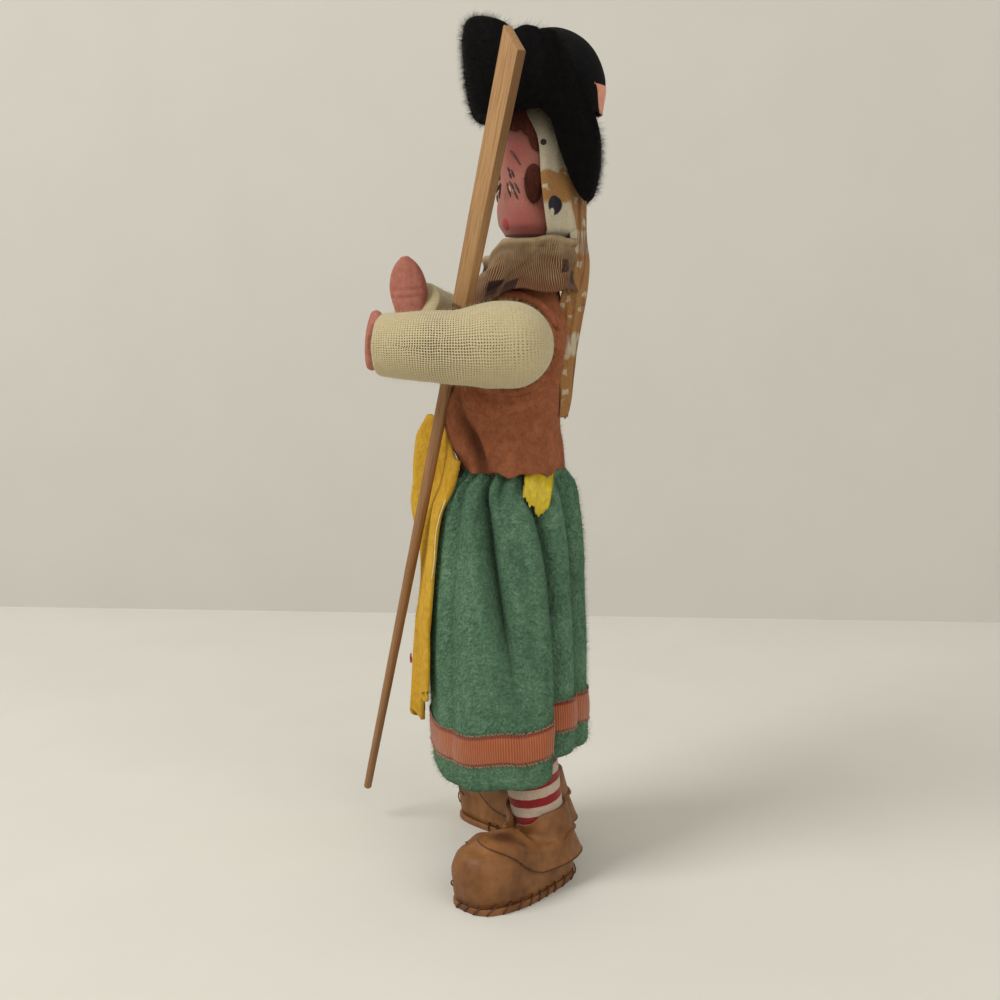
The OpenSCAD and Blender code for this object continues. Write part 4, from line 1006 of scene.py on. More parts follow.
scarfCut = {"columns": 150, "rows": 76, "thickness": 0.45,
            "low": neckTopZ - 2.6, "high": headMiddle.z + 16,
            "start": [(neckTopZ, 11), (neckTopZ + 7, 5), (headMiddle.z - 6, 1), (headMiddle.z + 4, -3),
                      (headMiddle.z + 10, -17)]}
scarfPrint = newMaterial("scarfPrint", {"Roughness": 0.85, "Sheen Weight": 0.15,
                                        "Specular IOR Level": 0.2})
scarfPlace = inMillimetres(scarfPrint)
threadGrain = speckle(scarfPlace, 3.2, detail=4, roughness=0.7)
creamTone = ramp(threadGrain, [(0.3, paint(160, 148, 122)), (0.6, paint(188, 176, 150)),
                               (0.8, paint(204, 194, 172))])
scarfParts = parts(scarfPlace)
# ochre bands across the cloth, broken by cream blocks
patchNoise = speckle(scarfPlace, 0.2, detail=1.5, roughness=0.4)
bandPlace = calc("MULTIPLY_ADD", patchNoise, 5.0, scarfParts["Z"])
bandTurn = math.pi / 2 - 2 * math.pi * (headMiddle.z - 4.6) / 26
bandWave = calc("SINE", calc("MULTIPLY_ADD", bandPlace, 2 * math.pi / 26, bandTurn))
lowCloth = ramp(calc("MULTIPLY", scarfParts["Z"], 0.004),
                [(0.004 * neckTopZ - 0.01, 1.5), (0.004 * neckTopZ + 0.01, 0.0)])
backCloth = ramp(calc("MULTIPLY", scarfParts["Y"], 0.02),
                 [(0.272 + 20 * axisY, 0.0), (0.3 + 20 * axisY, 1.5)])
lowCloth = calc("MAXIMUM", lowCloth, backCloth)
bandWave = calc("ADD", bandWave, lowCloth)
warp = addAfter("ShaderNodeTexNoise", {"Vector": scarfPlace, "Scale": 0.6, "Detail": 2.0})
warped = addAfter("ShaderNodeVectorMath", {0: warp.outputs["Color"], 1: (2.4, 2.4, 2.4), 2: scarfPlace},
                  operation="MULTIPLY_ADD")
blocks = addAfter("ShaderNodeTexVoronoi", {"Vector": warped.outputs["Vector"], "Scale": 0.3,
                                           "Randomness": 0.9}, distance="CHEBYCHEV")
blockMask = ramp(blocks.outputs["Distance"], [(0.18, 0.1), (0.26, 1.0)])
bandMask = ramp(bandWave, [(0.62, 0.0), (0.74, 0.9)])
bandMask = calc("MULTIPLY", bandMask, blockMask)
ochreTone = ramp(threadGrain, [(0.3, paint(128, 82, 28)), (0.7, paint(160, 108, 46))])
printed = blendColour(bandMask, creamTone, ochreTone)


def scarfDot(middle, reach, colour):
    mask = ramp(calc("DIVIDE", farFrom(scarfPlace, middle), 2 * reach), [(0.48, 1.0), (0.55, 0.0)])
    return blendColour(mask, printed, colour)


inkBlue = paint(30, 24, 38)
for dotPlace, dotReach, dotColour in (
        ((13.2, 9.6, headMiddle.z - 12), 2.3, inkBlue),
        ((13.6, 8.6, headMiddle.z - 13.6), 0.9, paint(188, 176, 150)),
        ((-13.2, 9.6, headMiddle.z - 12), 2.3, inkBlue),
        ((13.9, 6.6, headMiddle.z + 2.9), 0.75, paint(26, 18, 20)),
        ((3.5, 18.5, headMiddle.z - 15), 2.0, inkBlue), ((-4, 17.5, shoulderZ + 4), 2.0, inkBlue)):
    printed = scarfDot(dotPlace, dotReach, dotColour)
smallField = addAfter("ShaderNodeTexVoronoi", {"Vector": scarfPlace, "Scale": 0.16, "Randomness": 1.0})
smallMask = ramp(smallField.outputs["Distance"], [(0.07, 0.9), (0.1, 0.0)])
printed = blendColour(smallMask, printed, paint(30, 22, 24))
# in the shade of the hat
hatShade = ramp(calc("MULTIPLY", scarfParts["Z"], 0.004),
                [(0.004 * (headMiddle.z - 7), 0.0), (0.004 * (headMiddle.z + 11), 0.85)])
printed = blendColour(hatShade, printed, paint(40, 34, 28))
# painted shade: dark vertical streaks on the hanging cloth stand in for the shade between its pleats
streaks = speckle(inMillimetres(scarfPrint, (1, 1, 0.1)), 0.6, detail=3)
streakShadeMask = calc("MULTIPLY", ramp(streaks, [(0.48, 0.0), (0.62, 0.6)]), lowCloth)
printed = blendColour(streakShadeMask, printed, paint(116, 72, 36))
plug(scarfPrint, "Base Color", printed)
bumpFrom(scarfPrint, threadGrain, 0.3, 0.15)


def scarfPoint(u, v):
    z = between(scarfCut["low"], scarfCut["high"], v)
    hang = ease(z, headMiddle.z + 6, neckTopZ + 4)
    start = valueAt(scarfCut["start"], z)
    a = start + (180 - 2 * start) * u
    tuck = ease(z, neckTopZ + 3.5, neckTopZ - 0.5)  # goes in under the neckerchief and the tail
    nape = hang * ease(sind(a), 0.55, 0.95)
    share = headShare(max(z, headMiddle.z - 1)) * (1 - 0.3 * tuck)
    side = abs(a - 90)
    ripple = 0.9 * cosd(9 * (a - 90) + 40) + 0.7 * hill(side, 34, 8) + 0.5 * hill(side, 84, 6)
    pleat = hang * ripple * (1 - 0.6 * nape)
    uneven = 0.25 * noise.noise(Vector((0.1 * a, 0.1 * z, 2)))
    return headPoint(a, z, 2.6 - 0.9 * tuck - 1.3 * nape + pleat * (1 - tuck) + uneven, share)


scarf = clothPiece("scarfCloth", scarfCut, scarfPoint, scarfPrint, "head", ["headscarf"],
                   closed=False)

# tail of the scarf: hangs from the nape down the back in soft pleats, with a ragged end

tailCut = {
    "columns": 84, "rows": 120, "top": neckTopZ + 13, "bottom": shoulderZ - 19, "thickness": 0.45,
    # height, where the middle lies, how far the sides turn towards the back of the vest, width
    "path": [(shoulderZ - 19, 13.2, 1.4, 10), (shoulderZ - 15, 14.2, 2.2, 11),
             (shoulderZ - 7, 15.2, 3.6, 12.4), (shoulderZ - 2, 15.7, 4.4, 13.4),
             (shoulderZ + 5, 17.0, 6.2, 15.4), (shoulderZ + 13, 18.3, 6.0, 16.4),
             (neckTopZ - 5, 18.6, 4.4, 17.6), (neckTopZ + 1, 17.8, 3.4, 20),
             (neckTopZ + 7, 17.6, 3.4, 21), (neckTopZ + 13, 17.7, 3.6, 21)],
}


def tailPoint(u, v):
    ragged = 1.6 * noise.noise(Vector((7 * u, 3, 0))) + 0.9 * noise.noise(Vector((23 * u, 5, 0)))
    z = tailCut["top"] - (tailCut["top"] - tailCut["bottom"] + ragged) * v
    middle, depth, width = rowAt(tailCut["path"], z)
    side = 2 * u - 1
    pleat = 0.55 * cosd(900 * u + 60 * math.sin(3 * v)) + 0.3 * cosd(2000 * u + 150 * v)
    return Vector((width / 2 * side, middle - depth * abs(side) ** 2.2 + pleat, z))


tail = clothPiece("scarfTail", tailCut, lambda u, v: tailPoint(1 - u, 1 - v), scarfPrint, None,
                  ["scarf_tail"], closed=False)
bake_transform(tail)
print("headscarf done")

# hat: smooth felt crown, salmon ribbon at its back, long-haired plush brim turned up all round

crownCut = {"columns": 72, "rows": 36, "thickness": 1.2, "base": headMiddle.z + 14.25, "height": 17.8,
            "width": 27.4, "front": -4, "back": 22.9, "power": 2.1}


def crownPoint(a, z, offset=0.0):
    rise = clamp((z - crownCut["base"]) / crownCut["height"], 0, 0.999)
    share = (1 - rise ** crownCut["power"]) ** (1 / crownCut["power"])
    share *= 1 - 0.09 * ease(z, crownCut["base"] + 6, crownCut["base"] - 3)  # drawn in above the scarf
    half = (crownCut["back"] - crownCut["front"]) / 2
    return Vector(((crownCut["width"] / 2 * share + offset) * cosd(a),
                   (crownCut["front"] + crownCut["back"]) / 2 + (half * share + offset) * sind(a), z))


def crownShape(u, v):
    z = crownCut["base"] - 3 + (crownCut["height"] + 3) * roundOff(v)
    point = crownPoint(360 * u, z)
    return point + Vector((0, 0, 0.4 * noise.noise(Vector((0.1 * point.x, 0.1 * point.y, 7)))))


clothPiece("hatCrown", crownCut, crownShape, hatFelt, "head", ["hat_crown"])

bandCut = {"columns": 60, "rows": 12, "start": 48, "low": -3.4, "height": 6.6, "thickness": 0.35}
hatRibbon = newMaterial("hatRibbon", {"Roughness": 0.5, "Sheen Weight": 0.2})
hatRibbonParts = parts(onCloth(hatRibbon, 70, 1))
hatRibs = wave(hatRibbonParts["X"])
hatRibTone = speckle(inMillimetres(hatRibbon), 0.4, detail=3)
plug(hatRibbon, "Base Color", ramp(hatRibTone, [(0.3, paint(206, 118, 88)), (0.7, paint(230, 152, 120))]))
bumpFrom(hatRibbon, hatRibs, 0.4, 0.12)


def bandPoint(u, v):
    a = bandCut["start"] + (180 - 2 * bandCut["start"]) * u
    full = ease(math.sin(math.pi * u), 0, 0.75)  # the ends run out to a point
    z = crownCut["base"] + bandCut["low"] + bandCut["height"] * (1 - full + full * v)
    return crownPoint(a, z, 0.1 + 0.15 * full * math.sin(math.pi * v) + 0.06 * math.sin(14 * u + 3 * v))


band = clothPiece("hatBand", bandCut, bandPoint, hatRibbon, "head", ["hat_band"],
                  closed=False)

brimCut = {
    "columns": 140, "rows": 44, "width": 35.8, "front": 26.5, "side": 21, "back": 15, "rise": 10,
    "drop": 6.8, "notch": 0.2, "inset": 1.0,
    "fur": {"perMm": 3.4, "length": 2.2, "radius": 0.045, "least": 0.3, "bend": 0.8, "spread": 1.0,
            "brush": (0, 0.15, 0.1), "joints": 2, "seed": 31},
}


def blendRound(a, front, side, back):
    s = sind(a)
    return side + ((front if s < 0 else back) - side) * s * s


def brimPoint(u, v):
    a, b = 360 * u, 360 * v
    behind = 90 - abs(90 - (a if a < 270 else a - 360))
    rising = brimCut["rise"] * sind(2 * a) ** 2 if behind > 0 else 0
    dropping = brimCut["drop"] * sind(3 * (behind - 30)) if behind > 30 else 0
    aside = math.copysign(abs(cosd(a)) ** 0.4, cosd(a))
    place = Vector((brimCut["width"] / 2 * aside, blendRound(a, -8.8, 5.2, 20),
                    headMiddle.z + blendRound(a, 22, 19.5, -1.2) + (rising - dropping) / 2))
    out = Vector((cosd(a), sind(a), 0))
    rise = Vector((0, blendRound(a, -0.1, 0, 0.1), 1)).normalized()
    thick = (out - out.dot(rise) * rise).normalized()
    high = blendRound(a, brimCut["front"], brimCut["side"], brimCut["back"])
    high = (high + rising + dropping) / 2 - brimCut["inset"]
    if sind(b) > 0:
        high *= 1 - brimCut["notch"] * (hillRound(a, -40, 9) + hillRound(a, -140, 9))
    high -= 0.6 * ease(behind, -40, -5) + 1.3 * hill(behind, 30, 16)  # room for the fur
    half = blendRound(a, 4.4, 3.4, 2) - 0.6 * brimCut["inset"]
    lump = 0.6 * roundNoise(a, 1.2 * cosd(b), 2.6, 1)
    square = 1 - 0.35 * ease(-sind(a), 0.5, 0.9)  # boxier over the forehead
    outward = math.copysign(abs(cosd(b)) ** square, cosd(b))
    upward = math.copysign(abs(sind(b)) ** square, sind(b))
    lower = 1.2 * ease(-sind(a), 0.5, 0.9) * max(upward, 0)
    # the flaps' tops lean forward
    lean = Vector((0, -2.4 * hill(behind, 52, 20) * ease(upward, -0.3, 0.9), 0))
    return place + lean + (half + lump) * outward * thick + ((high + lump) * upward - lower) * rise


# a felt strip that joins the crown to the brim round the front
seatCut = {"columns": 80, "rows": 4, "start": 174, "span": 192, "tuck": 0.6, "lap": 0.8, "thickness": 0.6}


def seatPoint(u, v):
    a = seatCut["start"] + seatCut["span"] * u
    inner = brimPoint(a / 360 % 1, 0.5)
    sewn = crownPoint(a, inner.z, -seatCut["tuck"])
    return sewn.lerp(inner + seatCut["lap"] * (inner - sewn).normalized(), v)


clothPiece("hatSeat", seatCut, lambda u, v: seatPoint(1 - u, v), hatFelt, "head",
           closed=False)
brim = clothPiece("hatBrim", brimCut, brimPoint, hatPlush, "head", ["hat_brim"])
napOn("hatBrimFur", brim, brimCut["fur"], hatPlush, "head")
print("hat done")

# arms: stuffed cotton cores in open gauze sleeves, with felt hands

armCut = {
    "columns": 72, "rows": 92, "thickness": 0.55, "coreGrid": (40, 48), "wide": 10.4, "narrow": 7.5,
    "cap": 0.24, "bag": 0.88, "threads": (88, 76),
    # elbow and wrist, seen from the shoulder
    "bends": {"left": ((1, -16, -0.6), (-2.4, -30.5, -0.2)),
              "right": ((-0.8, -16.5, 1), (9.6, -24.6, 8.6))},
    "nap": {"perMm": 2.0, "length": 1.3, "radius": 0.022, "least": 0.3, "bend": 0.6, "spread": 1.0,
            "brush": (0, 0, 0), "joints": 1, "seed": 41},
}
sleeveGauze = newMaterial("sleeveGauze", {"Roughness": 0.85, "Sheen Weight": 0.25,
                                          "Specular IOR Level": 0.2})
weaveSpots = onCloth(sleeveGauze, *armCut["threads"])
weaveSway = speckle(weaveSpots, 0.07, detail=3)
weaveParts = parts(weaveSpots)


def threadRow(part, sway):
    place = calc("MULTIPLY_ADD", weaveSway, sway, weaveParts[part])
    return wave(place)


thread = calc("MAXIMUM", threadRow("X", 2.4), threadRow("Y", 1.9))
# holes open in the stretched cloth along the outer side, and close towards the seam and the ends
roundSleeve = calc("SINE", calc("MULTIPLY_ADD", weaveParts["X"], 2 * math.pi / armCut["threads"][0],
                                math.pi))
alongSleeve = calc("MAXIMUM", calc("MULTIPLY_ADD", weaveParts["Y"], 3.4 / armCut["threads"][1], -2.04),
                   calc("MULTIPLY_ADD", weaveParts["Y"], -2.5 / armCut["threads"][1], 1.4))
openness = calc("SUBTRACT", 1.3, calc("MULTIPLY_ADD", calc("ABSOLUTE", roundSleeve), 0.9, alongSleeve))
openness = calc("MULTIPLY_ADD", speckle(weaveSpots, 0.3, detail=3), 1.1, openness)
hole = calc("SUBTRACT", calc("SUBTRACT", openness, 1.45), thread)
clear = addAfter("ShaderNodeClamp", {"Value": calc("SUBTRACT", openness, 0.6)}).outputs["Result"]
holeShadeMask = ramp(calc("MULTIPLY_ADD", hole, 0.5, 0.5), [(0.47, 0.0), (0.56, 1.0)])
cottonFuzz = speckle(inMillimetres(sleeveGauze), 2.6, detail=5, roughness=0.7)
threadShow = calc("MULTIPLY", thread, calc("MULTIPLY_ADD", clear, 0.9, 0.4))
threadTone = ramp(calc("MULTIPLY_ADD", threadShow, 0.2, cottonFuzz),
                  [(0.3, paint(162, 148, 110)), (0.6, paint(190, 174, 134)),
                   (0.85, paint(206, 192, 154))])
# painted shade: the holes are painted dark brown for the shade inside the sleeve
plug(sleeveGauze, "Base Color", blendColour(holeShadeMask, threadTone, paint(58, 42, 22)))
bumpFrom(sleeveGauze, calc("MULTIPLY_ADD", threadShow, 0.5, cottonFuzz), 0.5, 0.2)


def armLine(side, t):
    elbow, wrist = (Vector(p) for p in armCut["bends"]["left" if side > 0 else "right"])
    start = Vector((side * shoulder.x, shoulder.y, shoulderZ))
    place = start + 2 * t * (1 - t) * elbow + t * t * wrist
    way = ((1 - t) * elbow + t * (wrist - elbow)).normalized()
    return place, way


def armPoint(side, u, v, inset, end=1.0):
    cap = armCut["cap"]
    t = clamp((v - cap) / (1 - cap)) * end
    place, way = armLine(side, t)
    across = Vector((0, 0, 1)).cross(way).normalized()
    up = way.cross(across)
    radius = between(armCut["wide"], armCut["narrow"], t) - inset
    if v < cap:
        b = 90 * (1 - v / cap)
        place = place - radius * sind(b) * way
        radius *= cosd(b)
    dent = 0.6 * hill(t, 0.42, 0.14) * hill(sind(360 * u), 1, 0.6) - 0.35 * hill(t, 0.16, 0.12)
    r = radius - dent * (v > cap)
    return place + r * (cosd(360 * u) * across + sind(360 * u) * up)


for side, name in ((1, "left"), (-1, "right")):
    def sleevePoint(u, v, side=side):
        point = armPoint(side, u, min(v / armCut["bag"], 1), 0)
        place, way = armLine(side, clamp((v / armCut["bag"] - armCut["cap"]) / (1 - armCut["cap"])))
        # the wrist end closes like a bag round the hand
        end = clamp((v - armCut["bag"]) / (1 - armCut["bag"]))
        uneven = noise.noise(Vector((3 * cosd(360 * u), 3 * sind(360 * u), 9 * v)))
        pucker = 0.05 * end * cosd(2520 * u) + 0.02 * uneven
        closing = 1 - 0.68 * (1 - cosd(90 * end)) + pucker
        return place + (point - place) * closing + way * 1.5 * sind(90 * end)

    def corePoint(u, v, side=side):
        closed = clamp((1 - v) / 0.1)
        point = armPoint(side, u, min(v, 0.94), 0.75, 1.02)
        place, way = armLine(side, clamp((min(v, 0.94) - armCut["cap"]) / (1 - armCut["cap"])) * 1.02)
        return place + (point - place) * roundOff(closed) + way * 1.2 * (1 - closed)

    body = name + "_arm"
    coreBm = clothGrid(*armCut["coreGrid"], corePoint, True)
    core = makePiece(name + "ArmCore", coreBm, bodyCotton, body, [name + "_arm_stuffing"])
    sleeve = clothPiece(name + "Sleeve", armCut, sleevePoint, sleeveGauze, body,
                        [name + "_sleeve"])
    napOn(name + "SleeveNap", sleeve, armCut["nap"], sleeveGauze, body)

handCut = {
    "columns": 48, "rows": 40,
    "widths": [(0, 0.7), (0.2, 0.88), (0.45, 1), (0.7, 0.86), (0.88, 0.56), (1, 0.16)],
    "left": {"from": (1.8, -1.9, 0.7), "way": (-0.96, -0.1, 0.05), "flat": (0, 0.1, 1),
             "length": 14, "width": 16.4, "thickness": 4.4, "creases": []},
    "right": {"from": (1.1, -1.3, -2.6), "way": (0.1, -0.1, 0.98), "flat": (0.3, 1, 0.3),
              "length": 16, "width": 11.4, "thickness": 5.6, "creases": [0.34, 0.46]},
}
for side, name in ((1, "left"), (-1, "right")):
    hand = handCut[name]
    handBase = armLine(side, 1.0)[0] + Vector(hand["from"])
    handWay = Vector(hand["way"]).normalized()
    wideWay = (Vector(hand["flat"]) - Vector(hand["flat"]).dot(handWay) * handWay).normalized()
    thickWay = handWay.cross(wideWay)

    def handPoint(u, v, hand=hand, base=handBase, way=handWay, wide=wideWay, thick=thickWay):
        t = clamp((v - 0.08) / 0.84)
        share = valueAt(handCut["widths"], t)
        closing = roundOff(v / 0.08) * roundOff((1 - v) / 0.08)
        pinch = 1 - 0.12 * sum(hill(t, crease, 0.03) for crease in hand["creases"])
        seam = 1 - 0.1 * hill(abs(cosd(360 * u)), 1, 0.12)
        reach = hand["width"] / 2 * share * closing * seam
        return (base + way * hand["length"] * t + wide * reach * cosd(360 * u)
                + thick * hand["thickness"] / 2 * (0.4 + 0.6 * share) * closing * pinch * sind(360 * u))

    mitten = clothPiece(name + "Hand", handCut, handPoint, pinkFelt, name + "_arm",
                        [name + "_hand"])
print("arms done")

# oar: a whittled wooden shaft that swells into a flat blade with a slanted end

oarCut = {"leanLeft": 16.4, "leanBack": 11.4, "twist": -46, "below": 145, "bladeStart": 145.75,
          "blade": 67.4, "tip": 1.1, "shaft": 1.7, "neck": 4.6, "wide": 6.2, "thick": 2.8, "slant": 4.4,
          "edge": 0.3, "shaftGrid": (20, 90)}
loopPlace = Vector((shoulder.x - 11.1, shoulder.y - 12.1, shoulderZ + 7.3))


def turnAbout(axis, angle):
    return Matrix.Rotation(math.radians(angle), 4, axis)


oarTurn = turnAbout("Y", oarCut["leanLeft"]) @ turnAbout("X", -oarCut["leanBack"])
oarTurn = oarTurn @ turnAbout("Z", oarCut["twist"])


def alongOar(x, y, z):
    return loopPlace + oarTurn @ Vector((x, y, z - oarCut["below"]))


oarWood = newMaterial("oarWood", {"Roughness": 0.6, "Specular IOR Level": 0.3})
oarFrame = {"Vector": addNode(oarWood.node_tree, "ShaderNodeTexCoord").outputs["Object"],
            "Location": spot(*loopPlace), "Rotation": oarTurn.to_euler(), "Scale": (0.001, 0.001, 0.001)}
oarWhere = addAfter("ShaderNodeMapping", oarFrame, vector_type="TEXTURE").outputs["Vector"]
oarGrain = speckle(stretched(oarWhere, (1, 1, 0.03)), 2.6, detail=6, roughness=0.65, distortion=0.4)
oarPores = speckle(stretched(oarWhere, (6, 6, 0.12)), 1.0, detail=3)
oarTone = ramp(oarGrain, [(0.3, paint(132, 90, 52)), (0.5, paint(166, 126, 82)),
                          (0.7, paint(182, 144, 98))])
oarTone = blendColour(ramp(oarPores, [(0.62, 0.0), (0.75, 0.5)]), oarTone, paint(110, 74, 42))
oarHeight = parts(oarWhere)["Z"]
shaftShade = ramp(calc("MULTIPLY_ADD", oarHeight, 0.02, 0.5), [(0.2, 0.45), (0.46, 0.35), (0.5, 0.0)])
oarTone = blendColour(shaftShade, oarTone, paint(112, 72, 48))
knotSpot = ramp(calc("ABSOLUTE", calc("SUBTRACT", oarHeight, 1.6)), [(0.3, 0.75), (1.6, 0.0)])
oarTone = blendColour(knotSpot, oarTone, paint(58, 34, 22))
# painted shade: the narrow sides of the blade are painted darker than its faces, less so near the shaft
bladeFlare = -0.5 * (oarCut["wide"] - oarCut["neck"]) / oarCut["blade"]
sideReach = calc("MULTIPLY_ADD", oarHeight, bladeFlare, -0.5 * oarCut["neck"])
sideReach = calc("ADD", calc("ABSOLUTE", parts(oarWhere)["Y"]), sideReach)
sideShade = ramp(calc("MULTIPLY_ADD", sideReach, 1.0, 0.5), [(0.26, 0.0), (0.4, 0.85)])
upBlade = ramp(calc("MULTIPLY", oarHeight, 0.02), [(0.25, 0.1), (0.9, 1.0)])
sideShade = calc("MULTIPLY", sideShade, upBlade)
plug(oarWood, "Base Color", blendColour(sideShade, oarTone, paint(104, 70, 38)))
bumpFrom(oarWood, oarGrain, 0.25, 0.2)

bladeBm = bmesh.new()
bmesh.ops.create_cube(bladeBm, size=1.0)
for vert in bladeBm.verts:
    upper = vert.co.z > 0
    width = oarCut["wide"] if upper else oarCut["neck"]
    z = oarCut["bladeStart"] + (oarCut["blade"] - oarCut["slant"] * (vert.co.y > 0) if upper else 0)
    vert.co = spot(*alongOar(vert.co.x * oarCut["thick"], vert.co.y * width, z))
bmesh.ops.bevel(bladeBm, geom=list(bladeBm.edges), offset=oarCut["edge"] * 0.001, affect="EDGES",
                segments=2, profile=0.5, material=-1)
bmesh.ops.recalc_face_normals(bladeBm, faces=bladeBm.faces)


def shaftPoint(u, v):
    t = clamp((v - 0.02) / 0.96)
    closing = roundOff(v / 0.02) * roundOff((1 - v) / 0.02)
    whittled = 1 + 0.04 * roundNoise(360 * u, 20 * v, 0.8, 0)
    r = between(oarCut["tip"], oarCut["shaft"], t) * closing * whittled
    return alongOar(r * cosd(360 * u), r * sind(360 * u), oarCut["bladeStart"] * t + 0.2)


addInto(bladeBm, clothGrid(*oarCut["shaftGrid"], shaftPoint, True))
oar = makePiece("oarWood", bladeBm, oarWood, "oar", ["oar"])
oar.data.set_sharp_from_angle(angle=math.radians(35))

loopCut = {"ring": 2.5, "thread": 0.45}
loopThread = newMaterial("loopThread", {"Roughness": 0.8, "Sheen Weight": 0.2})
loopParts = parts(onCloth(loopThread, 3, 40))
loopTwist = wave(calc("ADD", loopParts["X"], loopParts["Y"]))
plug(loopThread, "Base Color", ramp(calc("MULTIPLY_ADD", loopTwist, 0.5, 0.5),
                                    [(0.1, paint(70, 42, 26)), (0.7, paint(128, 86, 54))]))
bumpFrom(loopThread, loopTwist, 0.5, 0.15)
loopPath = [alongOar(loopCut["ring"] * cosd(9 * k), loopCut["ring"] * sind(9 * k), oarCut["below"])
            for k in range(40)]
loopBm = tube(loopPath, loopCut["thread"], 8, closed=True)
armMiddle = armLine(1, 0.4)[0]
toArm = (armMiddle - loopPlace).normalized()
stitchEnd = armMiddle - toArm * (between(armCut["wide"], armCut["narrow"], 0.4) - 0.4)
stitchStart = loopPlace + toArm * loopCut["ring"]
addInto(loopBm, tube([stitchStart + (stitchEnd - stitchStart) * k / 6 for k in range(7)],
                     loopCut["thread"], 8))
makePiece("oarLoop", loopBm, loopThread, "left_arm", ["oar_loop"])
print("oar done")

# legs: stuffed cotton, striped stockings, moccasins with a lapped quarter and whip stitches

legCut = {
    "hip": (10.0, -1.0), "ankle": (13.0, 6.6), "ankleZ": 13.2, "ball": 6.75,
    "radius": [(13.2, 6.05), (25.2, 6.35), (35.2, 6.75)],
    "stockingLow": 12.6, "stockingHigh": hipZ - 10, "stocking": 0.5, "stripe": 4.6,
    "grids": {"LegCore": (40, 60), "FootPad": (48, 30), "Stocking": (56, 90), "ShoeVamp": (120, 26),
              "ShoeQuarter": (90, 36), "Sole": (96, 26)},  # columns and rows of each piece
}
stockingKnit = newMaterial("stockingKnit", {"Roughness": 0.85, "Sheen Weight": 0.2,
                                            "Specular IOR Level": 0.2})
stockingMap = onCloth(stockingKnit, 1, legCut["stockingHigh"] - legCut["stockingLow"])
stockingParts = parts(stockingMap)
stripeSway = speckle(inMillimetres(stockingKnit), 0.25, detail=2)
tilt = calc("MULTIPLY", calc("SINE", calc("MULTIPLY_ADD", stockingParts["X"], 2 * math.pi, -0.3)), -1.3)
stripePlace = calc("ADD", stockingParts["Y"], calc("MULTIPLY_ADD", stripeSway, 0.5, tilt))
stripeWave = calc("FRACT", calc("DIVIDE", stripePlace, legCut["stripe"]))
knitGrain = speckle(inMillimetres(stockingKnit), 3.0, detail=4)
redStripe = ramp(knitGrain, [(0.3, paint(112, 20, 24)), (0.7, paint(150, 38, 38))])
creamStripe = ramp(knitGrain, [(0.3, paint(168, 146, 126)), (0.7, paint(196, 176, 156))])
stripeMask = ramp(stripeWave, [(0.0, 1.0), (0.44, 1.0), (0.47, 0.0), (0.97, 0.0), (1.0, 1.0)])
plug(stockingKnit, "Base Color", blendColour(stripeMask, creamStripe, redStripe))
bumpFrom(stockingKnit, knitGrain, 0.35, 0.15)

shoeCut = {
    "middle": (21.0, 0.9, 0), "turn": -43, "length": 38, "width": 17, "sole": 1.6, "height": 13,
    "leather": 0.9, "start": -12, "end": 342,
    "vampRise": [(0, 90), (50, 88), (80, 70), (110, 40), (150, 26), (180, 24)],
    "seam": [(0, 16), (70, 17), (100, 20), (125, 30), (145, 48), (165, 66), (192, 76)],
    "collarLow": 14.4, "collarHigh": 20.8, "seamRadius": 0.16,
    # a whip stitch: degrees round the toe, reach beyond the sole's edge, height
    "stitch": [(0, -0.5, 0.05), (0.6, 0.15, 0.25), (2.6, 0.3, 1.0), (4.6, 0.1, 1.8), (6.2, -0.2, 2.4),
               (6.8, -0.8, 2.5)],
    "stitchGap": 3.4, "stitchRadius": 0.2,
}
shoeLeather = newMaterial("shoeLeather", {"Roughness": 0.55, "Specular IOR Level": 0.35})
leatherPlace = inMillimetres(shoeLeather)
leatherGrain = addAfter("ShaderNodeTexVoronoi", {"Vector": leatherPlace, "Scale": 3.2},
                        feature="DISTANCE_TO_EDGE").outputs["Distance"]
leatherCloud = speckle(leatherPlace, 0.14, detail=4, roughness=0.6)
leatherScuff = speckle(leatherPlace, 0.9, detail=5, roughness=0.7)
leatherTone = ramp(leatherCloud, [(0.3, paint(98, 60, 27)), (0.5, paint(124, 79, 39)),
                                  (0.72, paint(146, 98, 54))])
leatherTone = blendColour(ramp(leatherScuff, [(0.6, 0.0), (0.8, 0.4)]), leatherTone, paint(88, 52, 26))
# painted shade where the leather dips in front of the ankle
for hollow in ((28.2, -3.1, 16.8), (-28.2, -3.1, 16.8)):
    ankleShadeMask = ramp(calc("DIVIDE", farFrom(leatherPlace, hollow), 7.0), [(0.25, 0.85), (0.62, 0.0)])
    leatherTone = blendColour(ankleShadeMask, leatherTone, paint(78, 40, 20))
plug(shoeLeather, "Base Color", leatherTone)
plug(shoeLeather, "Roughness", ramp(leatherScuff, [(0.3, 0.42), (0.7, 0.66)]))
bumpFrom(shoeLeather, calc("MULTIPLY_ADD", leatherGrain, 0.6, leatherScuff), 0.25, 0.15)
shoeThread = tonedMaterial("shoeThread", {"Roughness": 0.7}, 2.0, paint(58, 32, 18), paint(96, 58, 34))


def legLine(z):
    t = (hipZ - z) / (hipZ - legCut["ankleZ"])
    x, y = (between(hip, ankle, t) for hip, ankle in zip(legCut["hip"], legCut["ankle"]))
    return Vector((x, y, z))


def legPoint(a, z, offset):
    r = valueAt(legCut["radius"], z) + offset
    return legLine(z) + r * Vector((cosd(a), sind(a), 0))


def soleReach(a, offset):
    half = shoeCut["length"] / 2 + offset
    side = (shoeCut["width"] / 2 + offset) * (1 + 0.1 * cosd(a))
    power = 2.5 + 1.2 * hillRound(a, -32, 35)  # squarer at the toe's inner corner
    return (abs(cosd(a) / half) ** power + abs(sind(a) / side) ** power) ** (-1 / power)


